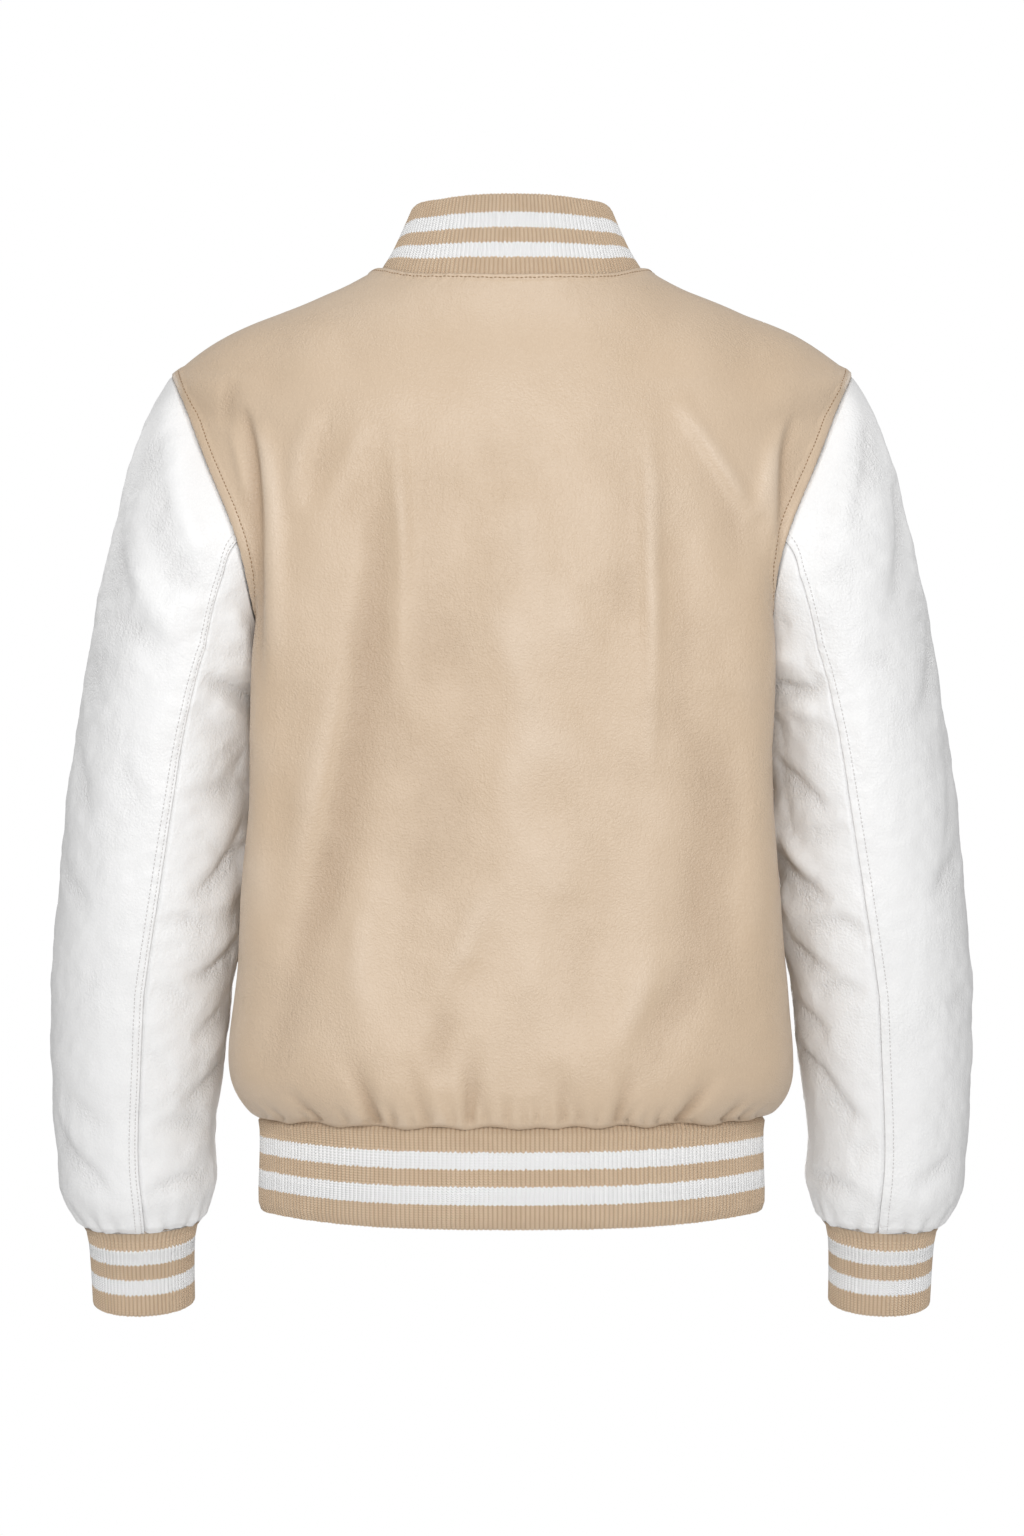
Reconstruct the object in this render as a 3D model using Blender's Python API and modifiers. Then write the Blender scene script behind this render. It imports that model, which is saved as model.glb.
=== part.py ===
"""Varsity jacket with leather body and sleeves and rib-knit collar, waistband and cuffs.

The jacket keeps the hollow form of a worn garment. Tables and sizes are in millimetres. +Z is up, the
front faces -Y and the wearer's left is +X. The origin is on the centre line, between the shoulders, at
the height of the neck seam.
"""

import math

import bmesh
import bpy
import numpy as np

MM = 0.001

# Cloth
BODY_WALL = 1.6
SLEEVE_WALL = 1.4
RIB_WALL = 2.6
SEAM_GAP = 0.4
SEAM_PULL = 0.5            # how far a panel's edge stops short of its seam line
TURNED_EDGE = 8.0          # width of the turned, topstitched edge at neck and armholes
TURNED_STEP = 0.8          # how far that edge stands out
INNER_BAND = 1.3           # last column before the turned edge, in widths of that edge
STEP_END_ROW = 7           # torso row where the armhole's turned edge has flattened out, towards the underarm

# Centre front closure
LAP = 15.0                 # how far each front passes the centre line
LAP_FADE = 35.0            # beyond the lap, the under layer comes back out over this width
LAP_CLEARANCE = 0.5        # between the two layers
COLLAR_PARTING = 2.5       # half of the gap between the collar's ends
SNAP_RADIUS = 7.5
SNAP_TOP_RADIUS = 5.6
SNAP_HEIGHT = 2.4
SNAP_LIFT = 0.55
SNAP_SIDES = 16
SNAP_LEVELS = (1.3, 5.0, 7.4, 9.25, 10.75, 12.4)   # torso rows that the snaps on the front sit at
HEM_SNAP_DROP = 34.0

# Rib knit
HEM_RIBS = 300
COLLAR_RIBS = 170
CUFF_RIBS = 78
RIB_HEIGHT = 0.9
HEM_INNER_STEP = 8         # outer columns to one inner column
COLLAR_INNER_STEP = 5
CUFF_INNER_STEP = 6

# Torso: one row for each section from the neck seam to the hem seam, for the wearer's left half.
# A section runs from the centre line over a middle and a corner point to the panel's edge, which is the
# shoulder seam down to row TIP, then the armhole down to row UNDERARM, then the side seam.
TIP = 3
UNDERARM = 8
PANEL_COLUMNS = ("centre_y", "centre_z", "mid_x", "mid_y", "corner_x", "corner_y",
                 "edge_x", "edge_y", "edge_z")
BACK = (
    (64, -5, 38, 58.5, 73, 40, 95, 0, 2.5),            # neck seam
    (78, -22, 52, 71.5, 101, 49, 133, 0, -17),
    (93, -48, 67, 87.5, 143, 61, 196, 0, -42.8),
    (104, -82, 76, 100, 162, 76, 237.6, 0, -69.3),     # shoulder tip
    (110, -115, 78, 106.5, 157, 89, 222, 46, -104),
    (114, -152, 78, 111, 150, 98, 205, 70, -145),
    (116, -194, 79, 113, 151, 101, 187, 83, -190),
    (117, -241, 83, 113.5, 166, 97, 176, 60, -240),
    (117, -285, 88, 113, 174, 88, 164, 0, -285),       # underarm
    (116, -340, 88, 112.5, 174.5, 86, 161, 0, -340),
    (116, -400, 89, 112.5, 177, 84, 168, 0, -400),
    (117, -460, 90, 113, 180, 82, 178, 0, -460),
    (120, -515, 92, 116, 180, 79, 188, 0, -515),
    (121, -557, 93, 117, 181, 76, 192, 0, -555),
    (117, -580, 88, 108, 167, 66, 184, 0, -578),
    (110, -586, 81, 98.5, 152, 57, 175, 0, -586),       # hem seam
)
FRONT = (
    (-70, -72, 40, -62, 80, -34, 95, 0, 2.5),          # neck seam
    (-84, -88, 55, -76, 108, -46, 133, 0, -17),
    (-97, -106, 71, -89, 147, -57, 196, 0, -42.8),
    (-107, -128, 80, -101, 168, -72, 237.6, 0, -69.3),  # shoulder tip
    (-113, -152, 78, -108, 152, -87, 214, -44, -108),
    (-117, -180, 75, -113, 141, -97, 193, -66, -148),
    (-119, -214, 75, -115.5, 139, -100, 178, -74, -194),
    (-120, -252, 79, -116, 149, -96, 170, -56, -241),
    (-120, -290, 84, -116, 163, -88, 164, 0, -285),    # underarm
    (-120, -342, 86, -116, 168, -84, 161, 0, -340),
    (-120, -400, 88, -116, 171, -82, 168, 0, -400),
    (-121, -460, 89, -117, 175, -80, 178, 0, -460),
    (-124, -515, 91, -119, 177, -78, 188, 0, -515),
    (-125, -556, 92, -120, 178, -76, 192, 0, -555),
    (-121, -579, 87, -111, 166, -67, 184, 0, -578),
    (-114, -586, 81, -102, 152, -58, 175, 0, -586),  # hem seam
)
MID_FALL = 0.12            # share of the centre-to-edge height reached at the middle point
CORNER_FALL = 0.5          # and at the corner point
BEYOND_ARMHOLE = 0.6       # how far a section is led on past the armhole, in corner-to-edge lengths
NEAR_CENTRE = 0.3          # shares to each side of the centre line that are searched for a given x

PANEL_ROWS = (0, 0.36, 1, 2, 3, 3.5, 4, 4.5, 5, 5.5, 6, 6.5, 7, 7.5, 8, 9, 10, 11, 12, 13, 13.7, 14.35, 15)
BACK_STEPS = 32
FRONT_STEPS = 15

# Sleeve: one row for each ring below the armhole, by its outermost and innermost points.
SLEEVE_COLUMNS = ("outer_x", "outer_z", "inner_x", "inner_z", "mid_y", "half_depth", "back_drop")
SLEEVE = (
    (255, -101, 173, -297, 4, 83, 0),
    (273, -157, 179, -313, 4, 82, 0),
    (287, -220, 183, -336, 4, 80, 0),
    (298, -280, 185, -362, 4, 77, 1),
    (306.5, -335, 186, -392, 4, 74, 2),
    (313, -390, 188, -424, 3, 71, 3),
    (318, -440, 191, -458, 1, 68, 5),
    (322, -490, 195.5, -495, -5, 65, 8),
    (323.5, -540, 200, -535, -13, 62, 10),
    (323, -585, 206, -575, -23, 59, 11),
    (320.5, -619, 209.5, -609, -30, 57, 10),
    (318, -645, 209, -636, -36.5, 54.5, 8),
    (304, -666.5, 219.5, -663, -41.5, 42, 5),
)
SLEEVE_MIDDLE = 245.0      # x inside every ring, which the walls' outer faces look away from
SLEEVE_ROWS = (0, 1, 2, 3, 4, 5, 6, 7, 8, 9, 10, 11, 12, 12.5, 13)
# Seams along the sleeve: ring, angle of the back seam, angle of the front seam (0 outer, 90 back, 180 inner).
# They start from the armhole at torso rows BACK_NOTCH and FRONT_NOTCH.
BACK_NOTCH = 6
FRONT_NOTCH = 6.5
SLEEVE_SEAMS = ((2, 112, 248), (5, 104, 244), (8, 96, 242), (13, 97, 240))
CAP_TURN = 0.75            # extra armhole gap at the shoulder tip, where the walls turn down
UNDERARM_TURN = 0.5        # and underarm, where they fold back on each other
TANGENT_TURN = 4.0         # angle to each side over which the armhole's direction is taken
SMALL_TURN = 1.0           # steps over which a sleeve surface's normal is taken, around it in degrees
SMALL_ROW = 0.05           # and along it in rings

# Collar: one row for each ring, base to top.
COLLAR_COLUMNS = ("back_y", "back_z", "side_x", "side_z", "front_y", "front_z")
COLLAR = (
    (61.0, -6.6, 92.0, 0.9, -67.0, -73.6),
    (54.5, 20.0, 77.5, 24.5, -67.0, -53.0),
    (46.0, 51.8, 66.0, 50.8, -65.0, -27.0),
)

# Its middle and corner points, each as (mid_wide, mid_deep, corner_wide, corner_deep) shares of side_x and
# centre y.
COLLAR_SHAPE = {"front": (0.42, 0.886, 0.82, 0.50), "back": (0.40, 0.914, 0.768, 0.62)}

# Waistband and cuffs: drop below the seam and swell outwards.
HEM_RINGS = ((0.0, 0.0), (14.0, -0.6), (66.0, 0.7))
HEM_BACK_SAG = 2.5
HEM_LAP_CLEARANCE = 0.4    # between the band's ends where they lap
LOOP_SAMPLES = 160         # points along each half front of a loop, before its columns are spaced
BACK_SAMPLES = 240
CUFF_RINGS = (
    (303.5, -667.1, 220.0, -663.6, -41.7, 41.5, 5),
    (299.3, -679.0, 225.5, -676.0, -45.0, 38.0, 6),
    (297.3, -724.5, 226.5, -723.5, -56.0, 37.0, 6.5),
)

# Folds on the torso: from one point to another, seen square on, with the half-width and the height
# (a trough is negative).
FOLD_COLUMNS = ("x0", "z0", "x1", "z1", "half_width", "height")
BACK_FOLDS = (
    (190, -92, 173, -150, 12, -5.0),       # deep hollow beside the left armhole
    (172, -135, 168, -235, 11, -4.5),
    (-194, -98, -180, -160, 12, -4.0),     # and the right
    (-183, -150, -177, -225, 10, -3.0),
    (134, -104, 158, -190, 16, 4.0),       # pulls from the shoulder blades
    (104, -112, 146, -190, 14, 3.0),
    (-118, -98, -170, -178, 16, 4.5),
    (78, -118, 74, -260, 20, 3.0),         # long soft undulations
    (98, -160, 92, -430, 18, -4.0),
    (132, -250, 128, -500, 24, 3.5),
    (40, -250, 46, -520, 30, -3.0),
    (-14, -180, -8, -480, 34, 2.5),
    (-94, -112, -100, -340, 20, 4.0),
    (-62, -180, -54, -430, 26, -3.5),
    (-132, -300, -124, -520, 22, -3.5),
    (-160, -260, -158, -480, 16, 2.5),
)
FRONT_FOLDS = (
    (178, -120, 160, -215, 13, -4.5),
    (-178, -120, -160, -215, 13, -4.5),
    (120, -140, 150, -230, 18, 4.0),
    (-112, -150, -146, -245, 18, 4.0),
    (84, -220, 78, -500, 26, -4.0),
    (-76, -240, -82, -480, 26, -3.5),
    (136, -300, 130, -530, 22, 3.5),
    (-128, -320, -134, -520, 22, 3.5),
)
# Gathers above the hem seam: place, lean of the upper end, reach upwards, half-width, depth
GATHER_COLUMNS = ("x", "lean", "reach", "half_width", "depth")
BACK_GATHERS = (
    (165, -3, 62, 7, 3.6), (141, -4, 44, 6, 2.8), (108, 6, 74, 8, 4.2), (84, 3, 40, 6, 2.4),
    (43, -5, 58, 7, 3.4), (22, 4, 66, 7, 3.0), (-17, 3, 50, 7, 3.6), (-42, -6, 70, 8, 4.2),
    (-76, 5, 56, 7, 3.2), (-104, 8, 48, 7, 3.4), (-130, 14, 64, 8, 4.0), (-156, 4, 46, 6, 3.0),
)
FRONT_GATHERS = (
    (162, -3, 58, 7, 3.6), (138, -5, 46, 7, 3.0), (112, 5, 66, 8, 4.0), (86, 2, 42, 6, 2.6),
    (62, -4, 60, 7, 3.6), (38, 3, 48, 7, 3.0), (-42, -3, 52, 7, 3.2), (-66, 5, 62, 8, 3.8),
    (-90, -4, 44, 6, 2.8), (-116, -6, 64, 8, 4.0), (-140, 4, 50, 7, 3.2), (-164, 3, 56, 7, 3.4),
)
# Folds on a sleeve, each as (angle0, z0, angle1, z1, half_width, height)
SLEEVE_FOLDS = {
    "left": (
        (112, -272, 165, -300, 9, -5.0), (125, -318, 150, -372, 17, 4.5), (160, -384, 112, -424, 12, -5.0),
        (70, -330, 120, -395, 15, 2.5), (60, -440, 118, -480, 14, 3.0), (52, -470, 110, -515, 10, -2.6),
        (64, -545, 120, -575, 13, 2.8), (250, -300, 200, -330, 10, -4.5), (262, -380, 205, -425, 14, -4.0),
        (285, -440, 225, -480, 14, 3.0), (300, -520, 240, -560, 12, 2.6), (20, -180, 48, -300, 20, 3.0),
    ),
    "right": (
        (115, -270, 162, -296, 9, -5.0), (118, -312, 142, -380, 16, -4.0), (150, -380, 108, -425, 12, -5.5),
        (132, -335, 160, -372, 15, 4.5), (66, -450, 120, -485, 14, 3.0), (58, -480, 112, -520, 10, -2.6),
        (60, -555, 118, -585, 13, 2.8), (248, -302, 200, -335, 10, -4.5), (266, -370, 208, -420, 14, -4.0),
        (282, -450, 228, -490, 14, 3.0), (302, -530, 244, -570, 12, 2.6), (24, -190, 44, -290, 20, 3.0),
    ),
}
FOLD_RADIUS = 60.0         # turns an angle on a sleeve into a length
CUFF_GATHERS = 10          # folds around the sleeve's end
CUFF_GATHER_DEPTH = 2.6
CUFF_GATHER_REACH = 42.0
SLOW_GATHER = 0.35         # size and phase of the slower wave that makes those folds uneven
SLOW_GATHER_PHASE = 1.0
GATHER_FALL = 1.4          # how fast gathers die out away from their seam
TOP_FADE_ROWS = 1.5        # sleeve folds grow over this many rings from the armhole
END_FADE_ROWS = 0.8        # and die out over this many at the cuff seam
EDGE_CALM = 9.0            # folds die out within this distance of an armhole edge

TAN_LEATHER = (0.62, 0.47, 0.32)
WHITE_LEATHER = (0.86, 0.85, 0.85)
TAN_RIB = (0.50, 0.35, 0.22)
SNAP_METAL = (0.62, 0.60, 0.57)


def natural_spline(points, places):
    """Points on a C2 curve through points[0], points[1], ... at the given index places."""
    points = np.asarray(points, float)
    count = len(points)
    bend = np.zeros_like(points)
    if count > 2:
        system = 4.0 * np.eye(count - 2) + np.eye(count - 2, k=1) + np.eye(count - 2, k=-1)
        right = 6.0 * (points[2:] - 2.0 * points[1:-1] + points[:-2])
        bend[1:-1] = np.linalg.solve(system, right.reshape(count - 2, -1)).reshape(right.shape)
    places = np.atleast_1d(np.asarray(places, float))
    cell = np.clip(np.floor(places).astype(int), 0, count - 2)
    far = (places - cell).reshape((-1,) + (1,) * (points.ndim - 1))
    near = 1.0 - far
    straight = near * points[cell] + far * points[cell + 1]
    return straight + ((near ** 3 - near) * bend[cell] + (far ** 3 - far) * bend[cell + 1]) / 6.0


def points_between(places, known_places, points):
    """Points at the given places on the straight runs between known points."""
    return np.stack([np.interp(places, known_places, points[:, axis]) for axis in range(3)], 1)


def broken_spline(points, places, breaks):
    """A natural spline in separate stretches, so that it may turn a corner at each break."""
    places = np.atleast_1d(np.asarray(places, float))
    stops = [0, *breaks, len(points) - 1]
    result = np.zeros((len(places),) + points.shape[1:])
    for start, end in zip(stops[:-1], stops[1:]):
        inside = (places >= start) & (places <= end)
        if inside.any():
            result[inside] = natural_spline(points[start:end + 1], places[inside] - start)
    return result


def panel_controls(table):
    """The centre, middle, corner and edge points of each section of a half panel."""
    values = dict(zip(PANEL_COLUMNS, np.array(table, float).T))
    fall = values["edge_z"] - values["centre_z"]
    centre = (0 * fall, values["centre_y"], values["centre_z"])
    middle = (values["mid_x"], values["mid_y"], values["centre_z"] + MID_FALL * fall)
    corner = (values["corner_x"], values["corner_y"], values["centre_z"] + CORNER_FALL * fall)
    edge = (values["edge_x"], values["edge_y"], values["edge_z"])
    return np.stack([np.stack(point, 1) for point in (centre, middle, corner, edge)], 1)


def add_beyond(controls, other):
    """Lead each section on: across the shared seam to the other panel, or straight past the armhole."""
    beyond = other[:, 2].copy()
    armhole = slice(TIP + 1, UNDERARM)
    beyond[armhole] = controls[armhole, 3] + BEYOND_ARMHOLE * (controls[armhole, 3] - controls[armhole, 2])
    return np.concatenate([controls, beyond[:, None]], 1)


def section_controls(table, other_table, rows):
    """The five control points of the sections at the given rows, whole or between two table rows."""
    controls = add_beyond(panel_controls(table), panel_controls(other_table))
    result = natural_spline(controls, rows)
    result[:, 3] = broken_spline(controls[:, 3], rows, (TIP, UNDERARM))
    result[:, 4] = points_between(rows, range(len(controls)), controls[:, 4])
    return result


def along_section(controls, shares):
    """Points on one section: share 0 is the centre line, 1 the left edge and -1 the right edge."""
    mirrored = controls[:0:-1] * (-1, 1, 1)
    return natural_spline(np.concatenate([mirrored, controls]), 4.0 + 3.0 * np.asarray(shares, float))


def share_at_x(controls, x):
    """The share at which a section, near its centre, passes the given x."""
    shares = np.linspace(-NEAR_CENTRE, NEAR_CENTRE, LOOP_SAMPLES)
    return np.interp(x, along_section(controls, shares)[:, 0], shares)


def edge_shares(controls, steps, first):
    """Shares of a row's points from first to the edge, the last two at the turned edge's width."""
    reach = 3.0 * np.linalg.norm(controls[3] - controls[2])
    band = TURNED_EDGE / reach
    inner = np.linspace(first, 1.0 - INNER_BAND * band, steps - 1)
    return np.concatenate([inner, [1.0 - band, 1.0 - SEAM_PULL / reach]])


def surface_normals(points):
    """Unit normals of a grid of points, to the side given by columns crossed with rows."""
    along_rows = np.gradient(points, axis=1)
    down_columns = np.gradient(points, axis=0)
    normals = np.cross(down_columns, along_rows)
    return normals / np.maximum(np.linalg.norm(normals, axis=2, keepdims=True), 1e-9)


def fold_heights(across, up, folds):
    """How far the folds raise the points at (across, up)."""
    total = np.zeros_like(across)
    for fold in folds:
        row = dict(zip(FOLD_COLUMNS, fold))
        start = np.array((row["x0"], row["z0"]), float)
        run = np.array((row["x1"], row["z1"]), float) - start
        place = ((across - start[0]) * run[0] + (up - start[1]) * run[1]) / (run @ run)
        place = np.clip(place, 0.0, 1.0)
        off = np.hypot(across - start[0] - place * run[0], up - start[1] - place * run[1])
        taper = 1.0 - (2.0 * place - 1.0) ** 4
        total += row["height"] * taper * np.exp(-(off / row["half_width"]) ** 2)
    return total


def gather_depths(across, above, gathers):
    """How far the gathers press in the points at a distance above the hem seam."""
    total = np.zeros_like(across)
    for gather in gathers:
        row = dict(zip(GATHER_COLUMNS, gather))
        rise = np.clip(above / row["reach"], 0.0, 1.0)
        off = across - row["x"] - row["lean"] * rise
        width = row["half_width"] * (1.0 + rise)
        total -= row["depth"] * (1.0 - rise) ** GATHER_FALL * np.exp(-(off / width) ** 2)
    return total


def smooth_step(value):
    """From 0 to 1 with a level start and end."""
    value = np.clip(value, 0.0, 1.0)
    return value * value * (3.0 - 2.0 * value)


def panel_points(table, other_table, first_shares, steps, folds, gathers, side=1, under=0.0):
    """A panel's outer points, row by row, with its turned edges, folds and gathers."""
    rows = section_controls(table, other_table, np.array(PANEL_ROWS, float))
    shares = [edge_shares(row, steps, first_shares(row)) for row in rows]
    return finish_panel(rows, shares, table, folds, gathers, side, under)


def finish_panel(rows, shares, table, folds, gathers, side, under):
    """The surface through the given rows and shares, with what stands out of it or is pressed in."""
    points = np.stack([along_section(row, share) for row, share in zip(rows, shares)])
    points[:, :, 0] *= side
    normals = surface_normals(points)
    facing = np.sign(table[UNDERARM][0])
    normals *= np.sign(normals[len(rows) // 2, 1, 1]) * facing
    to_edge = np.linalg.norm(points - points[:, -1:], axis=2)
    armhole = np.array([TIP <= row < UNDERARM for row in PANEL_ROWS])[:, None]
    if facing > 0:
        to_edge = np.minimum(to_edge, np.linalg.norm(points - points[:, :1], axis=2))
    calm = smooth_step((to_edge - SEAM_PULL) / EDGE_CALM)
    height = fold_heights(points[:, :, 0], points[:, :, 2], folds) * calm
    step = TURNED_STEP * np.clip(STEP_END_ROW - np.array(PANEL_ROWS), 0.0, 1.0)[:, None]
    height += step * (armhole & (to_edge < (1.0 + INNER_BAND) / 2 * TURNED_EDGE))
    height[:2] += TURNED_STEP * (height[:2] < TURNED_STEP)
    lap = smooth_step((LAP + LAP_FADE - np.abs(points[:, :, 0])) / LAP_FADE)
    height -= under * lap
    points = points + normals * height[:, :, None]
    flat = normals * (1, 1, 0)
    flat /= np.maximum(np.linalg.norm(flat, axis=2, keepdims=True), 1e-9)
    above = points[:, :, 2] - points[-1:, :, 2]
    return points + flat * (gather_depths(points[:, :, 0], above, gathers) * calm)[:, :, None]


def back_points():
    """The back panel's outer points, from its right edge to its left edge."""
    rows = section_controls(BACK, FRONT, np.array(PANEL_ROWS, float))
    shares = []
    for row in rows:
        half = edge_shares(row, BACK_STEPS // 2, 0.0)
        shares.append(np.concatenate([-half[:0:-1], half]))
    return finish_panel(rows, shares, BACK, BACK_FOLDS, BACK_GATHERS, 1, 0.0)


def front_points(side):
    """A front panel's outer points, from its front edge past the centre line to its side edge."""
    under = 0.0 if side > 0 else BODY_WALL + LAP_CLEARANCE
    return panel_points(FRONT, BACK, lambda row: share_at_x(row, -LAP), FRONT_STEPS,
                        FRONT_FOLDS, FRONT_GATHERS, side, under)


def armhole_line():
    """The left armhole edge as the panels' own points, with their angles and torso rows.

    It starts at the shoulder tip at 0 degrees and runs down the back to 180 underarm, then up the front.
    """
    rows = np.array([row for row in PANEL_ROWS if TIP <= row <= UNDERARM], float)
    lines, angles = [], []
    for table, other in ((BACK, FRONT), (FRONT, BACK)):
        edge = section_controls(table, other, rows)[:, 3]
        length = np.concatenate([[0.0], np.cumsum(np.linalg.norm(np.diff(edge, axis=0), axis=1))])
        lines.append(edge)
        angles.append(180.0 * length / length[-1])
    line = np.concatenate([lines[0], lines[1][-2::-1]])
    turns = np.concatenate([angles[0], 360.0 - angles[1][-2::-1]])
    return line, turns, rows


def sleeve_columns():
    """Angles at the armhole of a sleeve's columns, one at each point of the armhole line, and its notches."""
    _, turns, rows = armhole_line()
    back = turns[int(np.argmin(abs(rows - BACK_NOTCH)))]
    front = turns[2 * (len(rows) - 1) - int(np.argmin(abs(rows - FRONT_NOTCH)))]
    return turns, back, front


def ring_points(table, angles):
    """Rings of a sleeve or a cuff: outermost point at 0 degrees, back at 90, innermost at 180."""
    values = dict(zip(SLEEVE_COLUMNS, np.array(table, float).T[:, :, None]))
    turn = np.radians(angles)[None, :]
    mid_x, half_x = (values["outer_x"] + values["inner_x"]) / 2, (values["outer_x"] - values["inner_x"]) / 2
    mid_z, half_z = (values["outer_z"] + values["inner_z"]) / 2, (values["outer_z"] - values["inner_z"]) / 2
    x = mid_x + half_x * np.cos(turn)
    y = values["mid_y"] + values["half_depth"] * np.sin(turn)
    z = mid_z + half_z * np.cos(turn) - values["back_drop"] * np.sin(turn)
    return np.stack([x, y, z], 2)


def sleeve_base(row, angles, turns_at_start):
    """One line around a left-hand sleeve, before folds."""
    line, turns, _ = armhole_line()
    start = points_between(turns_at_start, turns, line)
    tangent = (points_between(np.mod(turns_at_start + TANGENT_TURN, 360.0), turns, line)
               - points_between(np.mod(turns_at_start - TANGENT_TURN, 360.0), turns, line))
    tangent /= np.linalg.norm(tangent, axis=1, keepdims=True)
    rings = ring_points(SLEEVE, angles)
    lead = rings[0] - start
    lead -= tangent * np.sum(lead * tangent, axis=1, keepdims=True)
    lead /= np.linalg.norm(lead, axis=1, keepdims=True)
    turned = np.cos(np.radians(turns_at_start))
    gap = SEAM_GAP + np.where(turned > 0.0, CAP_TURN, -UNDERARM_TURN) * turned
    start = start + lead * gap[:, None]
    return natural_spline(np.concatenate([start[None], rings]), row)[0]


def seam_turns(turns_at_start, row):
    """Angles on a sleeve's line for the given armhole angles: the seams wander, and the rest with them."""
    _, back, front = sleeve_columns()
    seam_rows, back_angles, front_angles = np.array(((0, back, front),) + SLEEVE_SEAMS, float).T
    here = (0.0, np.interp(row, seam_rows, back_angles), np.interp(row, seam_rows, front_angles), 360.0)
    return np.interp(turns_at_start, (0.0, back, front, 360.0), here)


def sleeve_surface(rows, turns_at_start, side_name):
    """A left-hand sleeve's outer points with folds, at the given rows and armhole angles."""
    points, normals, angles = [], [], []
    for row in rows:
        turns = np.mod(turns_at_start, 360.0)
        turn = seam_turns(turns, row)
        near, far = max(row - SMALL_ROW, 0.0), min(row + SMALL_ROW, len(SLEEVE))
        middle = sleeve_base(row, turn, turns)
        around = sleeve_base(row, turn + SMALL_TURN, turns) - sleeve_base(row, turn - SMALL_TURN, turns)
        down = (sleeve_base(far, seam_turns(turns, far), turns)
                - sleeve_base(near, seam_turns(turns, near), turns))
        normal = np.cross(around, down) if row > 0 else np.zeros_like(around)
        points.append(middle)
        normals.append(normal / np.maximum(np.linalg.norm(normal, axis=1, keepdims=True), 1e-9))
        angles.append(turn)
    points, normals, angles = np.stack(points), np.stack(normals), np.stack(angles)
    normals *= np.sign(np.sum(normals * (points - ring_middles(rows)[:, None]), axis=2).mean())
    fade = (smooth_step(np.array(rows) / TOP_FADE_ROWS)
            * smooth_step((len(SLEEVE) - np.array(rows)) / END_FADE_ROWS))
    folds = [(math.radians(start) * FOLD_RADIUS, top, math.radians(end) * FOLD_RADIUS, foot, *size)
             for start, top, end, foot, *size in SLEEVE_FOLDS[side_name]]
    height = fold_heights(np.radians(angles) * FOLD_RADIUS, points[:, :, 2], folds) * fade[:, None]
    points = points + normals * height[:, :, None]
    rise = np.clip((points[:, :, 2] - points[-1].mean(axis=0)[2]) / CUFF_GATHER_REACH, 0.0, 1.0)
    wave = (np.cos(np.radians(angles) * CUFF_GATHERS)
            + SLOW_GATHER * np.sin(np.radians(angles) * CUFF_GATHERS / 2 + SLOW_GATHER_PHASE))
    flat = normals * (1, 1, 0)
    flat /= np.maximum(np.linalg.norm(flat, axis=2, keepdims=True), 1e-9)
    swell = 0.5 * CUFF_GATHER_DEPTH * wave * (1.0 - rise) ** GATHER_FALL
    return points + flat * swell[:, :, None]


def ring_middles(rows):
    """The middle of a left-hand sleeve at the given rows."""
    outer = ring_points(SLEEVE, np.array([0.0, 180.0])).mean(axis=1)
    start = armhole_line()[0].mean(axis=0)
    return natural_spline(np.concatenate([start[None], outer]), rows)


def sleeve_panel(side_name, piece):
    """Outer points of the upper or under sleeve, between the two long seams."""
    turns, back, front = sleeve_columns()
    pull = math.degrees(SEAM_PULL / FOLD_RADIUS)
    if piece == "upper":
        chosen = np.concatenate([turns[turns >= front][:-1] - 360.0, turns[turns <= back]])
    else:
        chosen = turns[(turns >= back) & (turns <= front)]
    chosen = chosen.copy()
    chosen[0] += pull
    chosen[-1] -= pull
    points = sleeve_surface(SLEEVE_ROWS, chosen, side_name)
    if side_name == "right":
        points[:, :, 0] *= -1
    return points


def even_columns(line, count, closed=False):
    """Points at equal steps along a line of points: count steps, with both ends unless closed."""
    if closed:
        line = np.concatenate([line, line[:1]])
    length = np.concatenate([[0.0], np.cumsum(np.linalg.norm(np.diff(line, axis=0), axis=1))])
    places = np.linspace(0.0, length[-1], count + 1)[:count if closed else count + 1]
    return np.stack([np.interp(places, length, line[:, axis]) for axis in range(3)], 1)


def hem_loop():
    """The hem seam's line, from the left front edge around the back to the right front edge."""
    last = len(BACK) - 1
    front = section_controls(FRONT, BACK, [last])[0]
    back = section_controls(BACK, FRONT, [last])[0]
    lap = share_at_x(front, -LAP)
    left = along_section(front, np.linspace(lap, 1.0, LOOP_SAMPLES))
    behind = along_section(back, np.linspace(1.0, -1.0, BACK_SAMPLES))
    right = left[::-1] * (-1, 1, 1)
    return np.concatenate([left, behind[1:-1], right])


def collar_loop(ring):
    """One ring of the collar, from its left end around the back to its right end."""
    row = dict(zip(COLLAR_COLUMNS, ring))
    side = (row["side_x"], 0.0, row["side_z"])
    halves = []
    for end, (mid_wide, mid_deep, corner_wide, corner_deep) in COLLAR_SHAPE.items():
        centre_y, centre_z = row[f"{end}_y"], row[f"{end}_z"]
        fall = row["side_z"] - centre_z
        halves.append(np.array((
            (0.0, centre_y, centre_z),
            (row["side_x"] * mid_wide, centre_y * mid_deep, centre_z + MID_FALL * fall),
            (row["side_x"] * corner_wide, centre_y * corner_deep, centre_z + CORNER_FALL * fall),
            side)))
    front = np.concatenate([halves[0], halves[1][2:3]])
    back = np.concatenate([halves[1], halves[0][2:3]])
    parting = share_at_x(front, COLLAR_PARTING)
    left = along_section(front, np.linspace(parting, 1.0, LOOP_SAMPLES))
    behind = along_section(back, np.linspace(1.0, -1.0, BACK_SAMPLES))
    return np.concatenate([left, behind[1:-1], left[::-1] * (-1, 1, 1)])


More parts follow.
